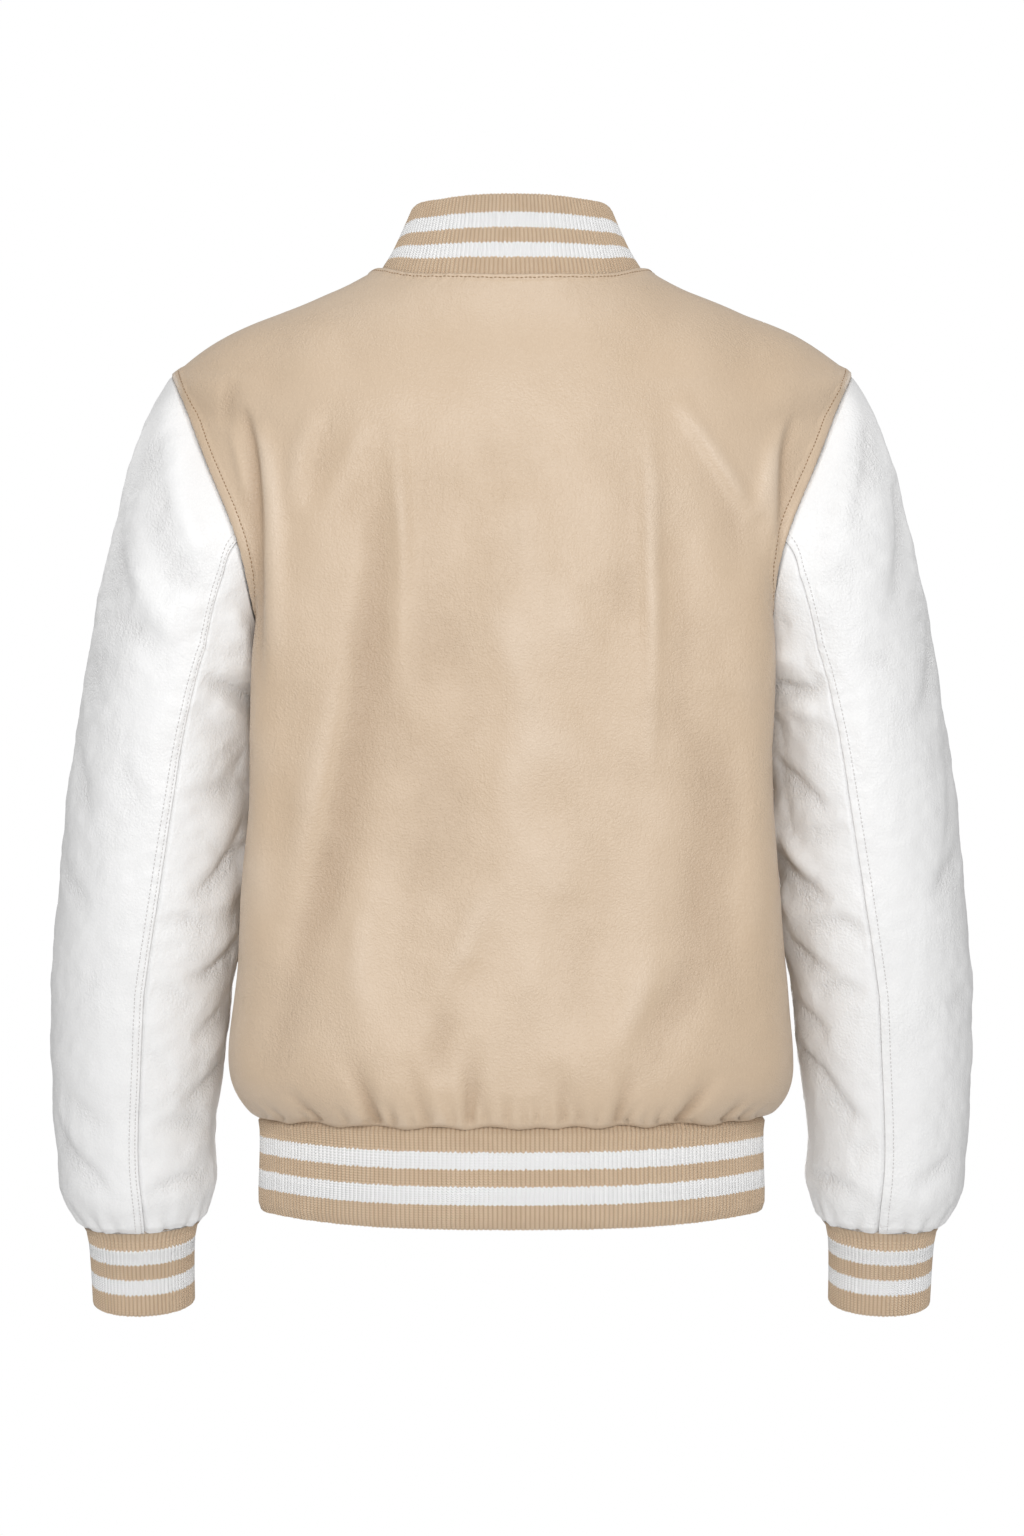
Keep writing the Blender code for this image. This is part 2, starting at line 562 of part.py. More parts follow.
def outward(points, closed):
    """Unit normals of rings stacked in rows, pointing away from the rings' middle."""
    if closed:
        wrapped = np.concatenate([points[:, -1:], points, points[:, :1]], 1)
        normals = surface_normals(wrapped)[:, 1:-1]
    else:
        normals = surface_normals(points)
    middle = points.mean(axis=(0, 1))
    return normals * np.sign(np.sum(normals * (points - middle) * (1, 1, 0), axis=2).mean())


def hem_rings():
    """Rings of the waistband, its right end laid under its left end."""
    columns = 2 * HEM_RIBS
    loop = even_columns(hem_loop(), columns)
    base = np.stack([loop, loop - (0, 0, HEM_RINGS[-1][0])])
    normals = outward(base, False)[0]
    rings = []
    for drop, swell in HEM_RINGS:
        sag = HEM_BACK_SAG * drop / HEM_RINGS[-1][0] * smooth_step(loop[:, 1:2] / loop[:, 1].max())
        rings.append(loop + normals * swell - (0, 0, 1) * (drop + SEAM_GAP + sag))
    rings = np.stack(rings)
    lap = smooth_step((LAP + LAP_FADE - np.abs(loop[:, 0])) / LAP_FADE)
    right_front = (np.arange(columns + 1) > columns / 2) & (loop[:, 1] < 0.0)
    under = (RIB_WALL + RIB_HEIGHT + HEM_LAP_CLEARANCE) * lap * right_front
    return rings - normals[None] * under[None, :, None]


def collar_rings():
    """Rings of the collar."""
    return np.stack([even_columns(collar_loop(ring), 2 * COLLAR_RIBS) for ring in COLLAR])


def cuff_rings(side):
    """Rings of a cuff."""
    columns = 2 * CUFF_RIBS
    rings = ring_points(CUFF_RINGS, np.arange(0.0, 360.0, 1.0))
    rings = np.stack([even_columns(ring, columns, closed=True) for ring in rings])
    rings[:, :, 0] *= side
    return rings


def rib_wall(rings, inner_step, closed):
    """Vertices and faces of a rib-knit wall: every other outer column stands out, the inside is plain."""
    normals = outward(rings, closed)
    rows, columns = rings.shape[:2]
    raised = (np.arange(columns) % 2)[None, :, None] * RIB_HEIGHT
    outer = rings + normals * raised
    picked = np.arange(0, columns, inner_step)
    if not closed and picked[-1] != columns - 1:
        picked = np.append(picked, columns - 1)
    inner = (rings - normals * RIB_WALL)[:, picked]
    vertices = np.concatenate([outer.reshape(-1, 3), inner.reshape(-1, 3)])
    first_inner = rows * columns
    inner_columns = len(picked)

    def out(row, column):
        return row * columns + column % columns

    def into(row, column):
        return first_inner + row * inner_columns + column % inner_columns

    faces = []
    for row in range(rows - 1):
        for column in range(columns if closed else columns - 1):
            faces.append((out(row, column), out(row, column + 1),
                          out(row + 1, column + 1), out(row + 1, column)))
        for column in range(inner_columns if closed else inner_columns - 1):
            faces.append((into(row, column), into(row + 1, column), into(row + 1, column + 1),
                          into(row, column + 1)))
    for column in range(inner_columns if closed else inner_columns - 1):
        start = picked[column]
        end = picked[(column + 1) % inner_columns] if column + 1 < inner_columns else columns
        rim = list(range(start, end + 1))
        faces.append([into(0, column), into(0, column + 1)] + [out(0, c) for c in reversed(rim)])
        faces.append([into(rows - 1, column + 1), into(rows - 1, column)] + [out(rows - 1, c) for c in rim])
    if not closed:
        for row in range(rows - 1):
            faces.append((out(row, 0), out(row + 1, 0), into(row + 1, 0), into(row, 0)))
            last, inner_last = columns - 1, inner_columns - 1
            faces.append((out(row, last), into(row, inner_last),
                          into(row + 1, inner_last), out(row + 1, last)))
    return vertices, faces


def material(name, color, roughness, metallic=0.0):
    made = bpy.data.materials.new(name)
    made.use_nodes = True
    shader = made.node_tree.nodes["Principled BSDF"]
    shader.inputs["Base Color"].default_value = (*color, 1.0)
    shader.inputs["Roughness"].default_value = roughness
    shader.inputs["Metallic"].default_value = metallic
    return made


def add_object(name, vertices, faces, finish, collection):
    mesh = bpy.data.meshes.new(name)
    mesh.from_pydata((np.asarray(vertices) * MM).tolist(), [], [list(map(int, face)) for face in faces])
    mesh.materials.append(finish)
    made = bpy.data.objects.new(name, mesh)
    collection.objects.link(made)
    return made


def add_shell(name, points, wall, finish, collection, middle):
    """An open panel through a grid of outer points, thickened inwards."""
    rows, columns = points.shape[:2]
    faces = [(row * columns + column, row * columns + column + 1,
              (row + 1) * columns + column + 1, (row + 1) * columns + column)
             for row in range(rows - 1) for column in range(columns - 1)]
    made = add_object(name, points.reshape(-1, 3), faces, finish, collection)
    outwards = 0.0
    for polygon in made.data.polygons:
        away = polygon.center / MM
        outwards += (away.x - middle[0]) * polygon.normal.x + (away.y - middle[1]) * polygon.normal.y
    if outwards < 0:
        made.data.flip_normals()
    made.data.shade_smooth()
    shell = made.modifiers.new("wall", "SOLIDIFY")
    shell.thickness = wall * MM
    shell.offset = -1.0
    shell.use_even_offset = False
    return made


def add_ribs(name, rings, inner_step, closed, finish, collection):
    vertices, faces = rib_wall(rings, inner_step, closed)
    made = add_object(name, vertices, faces, finish, collection)
    edit = bmesh.new()
    edit.from_mesh(made.data)
    bmesh.ops.recalc_face_normals(edit, faces=edit.faces)
    edit.to_mesh(made.data)
    edit.free()
    return made


def add_snap(name, point, normal, finish, collection):
    """A press-snap cap: a low cone frustum on the surface."""
    edit = bmesh.new()
    bmesh.ops.create_cone(edit, cap_ends=True, segments=SNAP_SIDES, radius1=SNAP_RADIUS * MM,
                          radius2=SNAP_TOP_RADIUS * MM, depth=SNAP_HEIGHT * MM)
    mesh = bpy.data.meshes.new(name)
    edit.to_mesh(mesh)
    edit.free()
    mesh.materials.append(finish)
    made = bpy.data.objects.new(name, mesh)
    collection.objects.link(made)
    from_surface = SNAP_LIFT + SNAP_HEIGHT / 2
    made.location = [(point[axis] + normal[axis] * from_surface) * MM for axis in range(3)]
    tilt = math.atan2(normal[2], -normal[1])
    made.rotation_euler = (math.pi / 2 - tilt, 0.0, 0.0)
    return made


def front_centre(row):
    """The point and outward normal of the left front on the centre line, at a torso row."""
    near = section_controls(FRONT, BACK, [row - SMALL_ROW, row, row + SMALL_ROW])[:, 0]
    down = near[2] - near[0]
    normal = np.array((0.0, down[2], -down[1]))
    return near[1], normal / np.linalg.norm(normal)


def clear_scene():
    for old in list(bpy.data.objects):
        bpy.data.objects.remove(old, do_unlink=True)


def main():
    clear_scene()
    jacket = bpy.data.collections.new("varsity_jacket")
    bpy.context.scene.collection.children.link(jacket)
    leather = material("tan_leather", TAN_LEATHER, 0.5)
    pale_leather = material("white_leather", WHITE_LEATHER, 0.45)
    knit = material("rib_knit", TAN_RIB, 0.9)
    metal = material("snap_metal", SNAP_METAL, 0.35, 1.0)

    add_shell("back", back_points(), BODY_WALL, leather, jacket, (0, 0))
    for side, name in ((1, "front_left"), (-1, "front_right")):
        add_shell(name, front_points(side), BODY_WALL, leather, jacket, (0, 0))
    for side, side_name in ((1, "left"), (-1, "right")):
        for piece in ("upper", "under"):
            add_shell(f"sleeve_{side_name}_{piece}", sleeve_panel(side_name, piece), SLEEVE_WALL,
                      pale_leather, jacket, (side * SLEEVE_MIDDLE, 0.0))
        add_ribs(f"cuff_{side_name}", cuff_rings(side), CUFF_INNER_STEP, True, knit, jacket)
    add_ribs("collar", collar_rings(), COLLAR_INNER_STEP, False, knit, jacket)
    add_ribs("hem_band", hem_rings(), HEM_INNER_STEP, False, knit, jacket)

    for number, row in enumerate(SNAP_LEVELS, start=1):
        point, normal = front_centre(row)
        add_snap(f"snap_{number}", point, normal, metal, jacket)
    hem_point = front_centre(len(FRONT) - 1)[0] - (0, RIB_HEIGHT, HEM_SNAP_DROP)
    add_snap(f"snap_{len(SNAP_LEVELS) + 1}", hem_point, (0.0, -1.0, 0.0), metal, jacket)


main()
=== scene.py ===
"""The looks of the varsity jacket: leather body and sleeves, rib-knit collar, waistband and cuffs.

Every piece repeats the form of its CAD node, from the same tables, on a much finer grid, and adds what cloth
does: creases, gathers, turned edges, topstitching, ribs and grain. Tables and sizes are in millimetres.
+Z is up, the front faces -Y and the wearer's left is +X.
"""

import math

import bpy
import numpy as np
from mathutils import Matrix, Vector

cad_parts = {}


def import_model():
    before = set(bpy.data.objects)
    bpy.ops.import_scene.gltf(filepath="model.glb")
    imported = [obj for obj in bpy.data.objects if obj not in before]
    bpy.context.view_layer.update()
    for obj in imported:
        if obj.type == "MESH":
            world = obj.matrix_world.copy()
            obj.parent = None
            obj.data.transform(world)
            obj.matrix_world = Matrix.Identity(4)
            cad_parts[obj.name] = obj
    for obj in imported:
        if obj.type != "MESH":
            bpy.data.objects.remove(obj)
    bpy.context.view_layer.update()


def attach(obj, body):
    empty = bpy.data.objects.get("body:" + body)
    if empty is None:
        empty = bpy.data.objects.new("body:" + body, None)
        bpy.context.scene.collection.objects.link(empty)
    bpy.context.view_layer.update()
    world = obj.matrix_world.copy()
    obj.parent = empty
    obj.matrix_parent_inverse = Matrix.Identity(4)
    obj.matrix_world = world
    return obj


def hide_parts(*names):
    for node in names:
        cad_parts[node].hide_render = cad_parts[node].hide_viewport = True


MM = 0.001
TINY = 1e-9                # keeps divisors above nothing
LEVEL = (1, 1, 0)          # factors that lay a direction level
MIRROR = (-1, 1, 1)        # and that take a point to the other side

# Photograph: 1024 x 1536 pixels, seen square on from behind
CAMERA_DISTANCE = 3000.0
CAMERA_HEIGHT = -344.0
PIXEL = 0.70               # size of a pixel at the jacket's middle plane
PHOTO_WIDTH, PHOTO_HEIGHT = 1024, 1536
PHOTO_CENTRE = 511.5       # column that the jacket's centre line lies on
SENSOR = 36.0

# Cloth
BODY_WALL = 1.6
SLEEVE_WALL = 1.4
RIB_WALL = 2.6
SEAM_GAP = 0.4
SEAM_PULL = 0.4            # how far a panel's edge stops short of its seam line
SEAM_ROLL = 0.7            # how deep a seamed edge rolls in
ROLL_WIDTH = 1.3
TUCK = 1.5                 # how far a panel goes on beneath its neighbour at a seam
TUCK_RUN = 4.5             # width over which it goes down to do so
TUCK_CLEARANCE = 0.25
TURNED_EDGE = 7.0          # width of the turned, topstitched edge at the neck
ARMHOLE_EDGE = 9.0         # and at the armholes
TURNED_STEP = 0.9          # how far that edge stands out
ARMHOLE_STEP = 1.3         # how many times as strong the whole edge is at the armholes
BAND_SLOPE = 1.6           # width over which a raised band steps down
EDGE_ROLL = 1.3            # how deep a turned edge rolls in
EDGE_ROLL_WIDTH = 1.4
EDGE_END_ROW = 7.7         # torso row at which the armhole's turned edge has died out
EDGE_END_ROWS = 0.8        # rows over which it does
ARMHOLE_REACH = 21.0       # distances to an armhole are worked out up to here
FAR_AWAY = 210.0           # and are taken as this beyond
STITCH_IN = 5.2            # topstitching from that edge
ARMHOLE_STITCH_IN = 7.4
GROOVE_DEPTH = 0.5
GROOVE_WIDTH = 0.9
PUCKER = 0.22              # small waves along the topstitching
PUCKER_WAVE = 10.0
PUCKER_WIDTH = 5.0
PUCKER_SHIFT = 3.0         # turn of the waves, in radians, for each mm of ripple
SLEEVE_PUCKER_SHIFT = 5.0

# Stitches
STITCH_PITCH = 3.0
STITCH_LENGTH = 2.2
STITCH_RADIUS = 0.38
STITCH_SIDES = 6
STITCH_STEP = 0.5          # length to each side over which a stitch's direction is taken
# Each ring of a stitch: share of its length, then radius and lift in stitch radii
STITCH_FORM = ((0.0, 0.15, -0.9), (0.12, 0.8, 0.0), (0.5, 1.0, 0.35), (0.88, 0.8, 0.0), (1.0, 0.15, -0.9))
STITCH_FIRST_ROW = 2.6     # torso rows between which an armhole's topstitching shows
STITCH_LAST_ROW = 7.2
LEAST_POINTS = 4           # a shorter line of points gets no topstitching

# Centre front closure
LAP = 15.0                 # how far each front passes the centre line
LAP_FADE = 35.0            # run over which the under front comes level beyond that
LAP_CLEARANCE = 0.5
COLLAR_PARTING = 0.7
FRONT_STITCH_IN = 6.0

# Rib knit
HEM_RIBS = 300
COLLAR_RIBS = 170
CUFF_RIBS = 78
RIB_HEIGHT = 0.9
RIB_RANGE = (0.75, 1.1)    # the ribs' own heights, as shares of that
RIB_AT_SEAM = 0.1          # share of it left in the rows at the seam
RIB_INSIDE = 0.35          # and on the inside
RIB_SHARPNESS = 2.6        # how round the ribs' tops are
RIB_SWAY = 0.035           # how far a rib wanders from one row to the next

# Torso, as in the CAD: one row for each section from the neck seam to the hem seam
TIP = 3
UNDERARM = 8
PANEL_COLUMNS = ("centre_y", "centre_z", "mid_x", "mid_y", "corner_x", "corner_y",
                 "edge_x", "edge_y", "edge_z")
BACK = (
    (64, -5, 38, 58.5, 73, 40, 95, 0, 2.5),            # neck seam
    (78, -22, 52, 71.5, 101, 49, 133, 0, -17),
    (93, -48, 67, 87.5, 143, 61, 196, 0, -42.8),
    (104, -82, 76, 100, 162, 76, 237.6, 0, -69.3),     # shoulder tip
    (110, -115, 78, 106.5, 157, 89, 222, 46, -104),
    (114, -152, 78, 111, 150, 98, 205, 70, -145),
    (116, -194, 79, 113, 151, 101, 187, 83, -190),
    (117, -241, 83, 113.5, 166, 97, 176, 60, -240),
    (117, -285, 88, 113, 174, 88, 164, 0, -285),       # underarm
    (116, -340, 88, 112.5, 174.5, 86, 161, 0, -340),
    (116, -400, 89, 112.5, 177, 84, 168, 0, -400),
    (117, -460, 90, 113, 180, 82, 178, 0, -460),
    (120, -515, 92, 116, 180, 79, 188, 0, -515),
    (121, -557, 93, 117, 181, 76, 192, 0, -555),
    (117, -580, 88, 108, 167, 66, 184, 0, -578),
    (110, -586, 81, 98.5, 152, 57, 175, 0, -586),       # hem seam
)
FRONT = (
    (-70, -72, 40, -62, 80, -34, 95, 0, 2.5),          # neck seam
    (-84, -88, 55, -76, 108, -46, 133, 0, -17),
    (-97, -106, 71, -89, 147, -57, 196, 0, -42.8),
    (-107, -128, 80, -101, 168, -72, 237.6, 0, -69.3),  # shoulder tip
    (-113, -152, 78, -108, 152, -87, 214, -44, -108),
    (-117, -180, 75, -113, 141, -97, 193, -66, -148),
    (-119, -214, 75, -115.5, 139, -100, 178, -74, -194),
    (-120, -252, 79, -116, 149, -96, 170, -56, -241),
    (-120, -290, 84, -116, 163, -88, 164, 0, -285),    # underarm
    (-120, -342, 86, -116, 168, -84, 161, 0, -340),
    (-120, -400, 88, -116, 171, -82, 168, 0, -400),
    (-121, -460, 89, -117, 175, -80, 178, 0, -460),
    (-124, -515, 91, -119, 177, -78, 188, 0, -515),
    (-125, -556, 92, -120, 178, -76, 192, 0, -555),
    (-121, -579, 87, -111, 166, -67, 184, 0, -578),
    (-114, -586, 81, -102, 152, -58, 175, 0, -586),  # hem seam
)
CORNER, EDGE, BEYOND = 2, 3, 4   # places of these among a section's control points, from its centre
MID_FALL = 0.12            # share of the centre-to-edge height reached at the middle point
CORNER_FALL = 0.5          # and at the corner point
BEYOND_ARMHOLE = 0.6       # how far a section is led on past the armhole, in corner-to-edge lengths
NEAR_CENTRE = 0.3          # shares to each side of the centre line that are searched for a given x
SECTION_SAMPLES = 260      # points at which a section is followed
TUCK_ROWS = 0.12           # rows over which a tuck starts, away from the armhole
TUCK_SHARE = 0.03          # a little more than the longest tuck, as a share of a section
CENTRE_STEP = 0.05         # rows to each side over which the front's slope is taken

# Sleeve: one row for each ring below the armhole, by its outermost and innermost points
SLEEVE_COLUMNS = ("outer_x", "outer_z", "inner_x", "inner_z", "mid_y", "half_depth", "back_drop")
SLEEVE = (
    (255, -101, 173, -297, 4, 83, 0),
    (273, -157, 179, -313, 4, 82, 0),
    (287, -220, 183, -336, 4, 80, 0),
    (298, -280, 185, -362, 4, 77, 1),
    (306.5, -335, 186, -392, 4, 74, 2),
    (313, -390, 188, -424, 3, 71, 3),
    (318, -440, 191, -458, 1, 68, 5),
    (322, -490, 195.5, -495, -5, 65, 8),
    (323.5, -540, 200, -535, -13, 62, 10),
    (323, -585, 206, -575, -23, 59, 11),
    (320.5, -619, 209.5, -609, -30, 57, 10),
    (318, -645, 209, -636, -36.5, 54.5, 8),
    (304, -666.5, 219.5, -663, -41.5, 42, 5),
)
BACK_NOTCH = 6             # torso rows that the sleeve's back and front seams start from
FRONT_NOTCH = 6.5
# Where these seams run from there: ring, angle of the back seam, angle of the front seam
SLEEVE_SEAMS = ((0.3, 102, 243), (0.6, 106.5, 244.5), (1, 108, 246), (2, 111.5, 248), (5, 104, 244),
                (8, 96, 242), (13, 97, 240))
SLEEVE_BAND = 7.4          # turned band on the upper sleeve along its back seam
SLEEVE_STEP = 0.45
SLEEVE_ROLL = 0.35
SLEEVE_STITCHES = {"left": (2.4, 6.4), "right": (6.2,)}   # rows of topstitching, by distance from that seam
SLEEVE_GROOVE_SHARE = 0.6  # their grooves' depth, as a share of the torso's
CAP_RUN = 40.0             # length that the stretch from the armhole to the first ring is counted as
CAP_ROUND = 60.0           # rounds the armhole at the shoulder tip: speed added there, in mm to a row
TANGENT_TURN = 4.0         # angle to each side over which the armhole's direction is taken
ARMHOLE_STEPS = 60         # points down each half of the armhole
SLEEVE_RADIUS = 60.0       # turns an angle on a sleeve into a length
SLEEVE_MIDDLE = 245.0      # x of the line that a sleeve's outside faces away from

# Collar: one row for each ring, base to top
COLLAR_COLUMNS = ("back_y", "back_z", "corner_z", "side_x", "side_z", "front_y", "front_z")
COLLAR = (
    (61.0, -6.6, -2.9, 92.0, 0.9, -67.0, -73.6),
    (54.5, 20.5, 20.5, 82.0, 16.5, -67.0, -53.0),
    (46.0, 52.0, 49.8, 70.0, 43.0, -65.0, -27.0),
)
COLLAR_TUCK = (65.2, -11.0, -6.8, 98.4, -2.9, -71.4, -78.0)   # a ring beneath the panels' neck edges
COLLAR_STEPS = 10
# Its middle point and its corner point, each as shares of side_x and of the centre's y
COLLAR_SHAPE = {"front": (0.42, 0.886, 0.82, 0.50), "back": (0.40, 0.914, 0.768, 0.62)}

# Waistband: drop below the seam and swell outwards. Cuffs: rings as in a sleeve
HEM_RINGS = ((-3.0, -2.9), (-0.6, -1.9), (3.0, 0.8), (14.0, -0.2), (52.0, 0.8), (60.0, 0.5), (66.0, -1.2))
HEM_BACK_SAG = 3.6         # how much lower the waistband hangs behind
SAG_DROP = 16.0            # drop at which it hangs that much lower
SAG_START = 0.35           # where that begins, as a share of the way to the back
CUFF_RINGS = (
    (303.5, -667.1, 220.0, -663.6, -41.7, 41.5, 5),
    (299.3, -679.0, 225.5, -676.0, -45.0, 38.0, 6),
    (297.3, -724.5, 226.5, -723.5, -56.0, 37.0, 6.5),
)
LOOP_SAMPLES = 400

# Snaps
SNAP_LEVELS = (1.3, 5.0, 7.4, 9.25, 10.75, 12.4)   # torso rows
HEM_SNAP_DROP = 34.0       # the last one, below the hem seam
SNAP_LIFT = 0.55
SNAP_PROFILE = ((0.0, 1.7), (3.2, 1.7), (3.8, 2.0), (4.6, 2.3), (5.6, 2.3), (6.7, 1.8), (7.4, 0.9),
                (7.5, 0.3), (7.0, 0.0), (0.0, 0.0))    # radius and height of a cap's outline
SNAP_SIDES = 48

# Folds: the points that each one runs through, seen square on, with its half-width and height. A trough is
# negative. Both ends die out.
FOLD_COLUMNS = ("path", "half_width", "height")
BACK_FOLDS = (
    # Beside the left armhole the back bulges over a sharp crease
    (((184, -97), (179, -113), (174.5, -133), (172, -160), (171, -195), (170.5, -296)), 3.2, -5.8),
    (((181, -150), (177, -195), (174, -240), (173, -285)), 4.5, -2.4),
    (((190, -112), (184, -135), (180, -162), (178, -190)), 6, -1.6),
    (((174, -108), (167, -133), (163, -165), (161.5, -205), (161, -290)), 7.5, 4.2),
    (((193, -76), (195, -92), (196, -112)), 5, -2.6),
    (((192, -112), (186, -136), (180, -163)), 4, 1.8),
    # Beside the right armhole
    (((-194, -103), (-187.5, -121), (-185, -143), (-184, -180), (-183, -218)), 3.2, -4.2),
    (((-186, -106), (-180, -130), (-177, -158), (-175, -205)), 6, 2.8),
    (((-200, -116), (-194, -142), (-190, -172)), 5, -1.5),
    (((-184, -212), (-181, -260), (-179, -330)), 6, 2.0),
    # Pulls from the shoulder blades, which meet in a V on the right
    (((-112, -92), (-130, -120), (-150, -152), (-166, -176)), 6, 3.2),
    (((-176, -118), (-172, -150), (-166, -180)), 5, 1.8),
    (((-124, -118), (-139, -147), (-150, -180), (-154, -226)), 9, -2.4),
    (((98, -108), (113, -137), (129, -170)), 8, 1.6),
    (((133, -100), (144, -132), (151, -176)), 8, 1.8),
    (((119, -98), (130, -132), (138, -172)), 7, -1.5),
    # Long upright ridges with a trough along each
    (((79, -105), (76, -157), (75, -210), (77, -300)), 8, 2.9),
    (((88, -130), (90, -200), (96, -250), (107, -320), (124, -405), (149, -500), (160, -556)), 12, -4.6),
    (((118, -270), (132, -350), (152, -450)), 14, 2.4),
    (((60, -140), (57, -220), (60, -310)), 11, -1.8),
    (((-91, -100), (-94, -160), (-95, -204), (-96, -270), (-92, -360)), 8, 3.1),
    (((-78, -124), (-80, -186), (-82, -250)), 9, -2.4),
    (((-110, -190), (-113, -260), (-112, -330)), 12, -2.0),
    # Soft ones lower down
    (((16, -420), (31, -466), (47, -512)), 12, 2.2),
    (((30, -470), (44, -515), (54, -560)), 10, -2.4),
    (((-126, -470), (-101, -514), (-74, -562)), 10, -2.6),
    (((-104, -462), (-84, -502), (-62, -545)), 12, 2.0),
    (((-14, -150), (-12, -320), (-8, -500)), 34, 2.2),
    (((-136, -290), (-133, -400), (-127, -520)), 22, -3.2),
    (((-162, -250), (-166, -380), (-160, -510)), 13, 2.6),
    (((42, -240), (52, -350), (64, -470)), 24, -2.2),
    (((164, -300), (170, -390), (172, -480)), 10, 2.0),
    (((-40, -430), (-34, -480), (-22, -540)), 14, -1.6),
    (((98, -420), (104, -480), (100, -545)), 12, 1.8),
)
FRONT_FOLDS = (
    # From the armholes
    (((188, -120), (172, -160), (160, -215)), 7, -4.2),
    (((-186, -122), (-172, -158), (-158, -208)), 7, -4.0),
    (((168, -122), (152, -165), (146, -225)), 7, 3.0),
    (((-166, -126), (-150, -168), (-146, -220)), 7, 2.8),
    # Pulls across the chest
    (((96, -130), (118, -160), (138, -196)), 6, 3.0),
    (((-90, -134), (-114, -166), (-134, -205)), 6, 3.2),
    (((78, -150), (98, -182), (120, -214)), 7, -2.2),
    (((-76, -160), (-98, -190), (-118, -222)), 7, -2.2),
    # Long upright ones
    (((74, -190), (70, -270), (72, -350)), 7, 3.2),
    (((88, -200), (96, -300), (118, -400), (142, -510)), 9, -3.4),
    (((-82, -200), (-80, -280), (-84, -360)), 7, 3.0),
    (((-96, -220), (-100, -310), (-120, -410), (-140, -520)), 9, -3.2),
    (((44, -330), (50, -420), (60, -505)), 10, -2.0),
    (((-46, -350), (-52, -430), (-58, -500)), 10, -1.8),
    (((136, -300), (134, -400), (128, -500)), 14, 2.6),
    (((-132, -310), (-134, -410), (-130, -505)), 14, 2.6),
    # Above the waistband
    (((34, -450), (48, -490), (56, -535)), 7, 1.9),
    (((-36, -440), (-46, -486), (-60, -540)), 7, 1.8),
    (((104, -470), (92, -510), (80, -552)), 6, -2.0),
    (((-108, -480), (-94, -516), (-78, -556)), 6, -2.0),
)

# Gathers above the hem seam: place, lean of the upper end, reach upwards, half-width, depth
GATHER_COLUMNS = ("x", "lean", "reach", "half_width", "depth")
BACK_GATHERS = (
    (170, 7, 16, 2.5, 2.9), (158, 12, 20, 2.7, 4.5), (140, 9, 16, 2.2, 2.9), (132, 22, 32, 3.2, 5.8),
    (112, 6, 14, 2.2, 2.5), (98, 3, 14, 2.2, 2.9), (92, 18, 52, 4.6, 8.4), (80, 5, 17, 2.5, 4.5),
    (67, 3, 12, 2, 2.3), (58, 13, 46, 4.4, 4.6), (40, 6, 22, 3.6, 3.2), (28, -3, 54, 4.8, 6.2),
    (18, 3, 24, 3.1, 3.4), (3, 0, 14, 2, 2.9), (-9, 1, 11, 1.9, 2), (-17, 1, 14, 2, 2.9),
    (-25, 4, 32, 3.1, 2.5), (-35, 3, 40, 4.0, 4.8), (-46, 8, 26, 3.4, 3.6), (-58, -2, 12, 2, 2.1),
    (-72, -9, 38, 3.8, 5.4), (-79, -7, 16, 2.2, 3.9), (-90, -2, 11, 1.9, 2), (-99, -4, 14, 2.2, 2.9),
    (-115, -24, 44, 4.4, 8.2), (-124, -4, 10, 1.9, 2.1), (-146, -15, 26, 2.9, 6.1),
    (-158, -11, 20, 2.5, 4.8), (-170, -6, 16, 2.5, 3.6),
)
FRONT_GATHERS = (
    (165, 8, 18, 2.5, 4.1), (152, 12, 24, 2.9, 5.2), (136, 16, 34, 3.4, 6.4), (124, 4, 14, 2.2, 2.9),
    (112, 10, 30, 3.1, 4.8), (100, 3, 13, 2, 2.5), (88, 14, 40, 3.6, 6.8), (76, 4, 16, 2.4, 3.6),
    (64, 8, 28, 2.9, 4.1), (52, 2, 14, 2.2, 2.9), (41, 4, 36, 3.2, 4.8), (30, 1, 14, 2, 2.5),
    (-42, -4, 34, 3.2, 4.8), (-31, -1, 14, 2, 2.5), (-53, -2, 15, 2.2, 2.9), (-66, -9, 30, 2.9, 4.5),
    (-77, -3, 14, 2.2, 2.9), (-90, -15, 38, 3.6, 6.8), (-101, -3, 13, 2, 2.5), (-113, -9, 28, 3.1, 4.5),
    (-126, -4, 15, 2.2, 2.9), (-138, -17, 34, 3.4, 6.8), (-153, -12, 24, 2.9, 5.2), (-166, -8, 17, 2.5, 3.9),
)
HEM_TURN = 13.0            # gathers keep their full depth up to here, on the underside of the bulge
SEAM_SHALLOW = 11.0        # but are shallow within this distance of the seam
SEAM_SHARE = 0.2           # share of their depth left at the seam itself
HEM_PUFF = 3.0             # swell between gathers
HEM_PUFF_REACH = 15.0      # how far up it reaches
HEM_PUFF_START = 8.0       # where it is whole, above the waistband
CUFF_PUFF_START = 6.0      # and above a cuff
# Lobes that hang over the hem seam: place, half-width, drop
HEM_LOBES = ((118, 11, 4.2), (70, 13, 4.6), (-5, 14, 4.2), (-59, 12, 4.0), (-92, 9, 3.4), (-136, 11, 3.6),
             (152, 10, 3.4), (30, 10, 3.2), (-30, 8, 2.6), (-160, 8, 2.4), (173, 7, 1.8))
LOBE_REACH = 9.0           # how far up they reach
LOBE_LEAD = 1.0            # they rise from this far below the seam
LOBE_RISE = 4.0            # and over this length

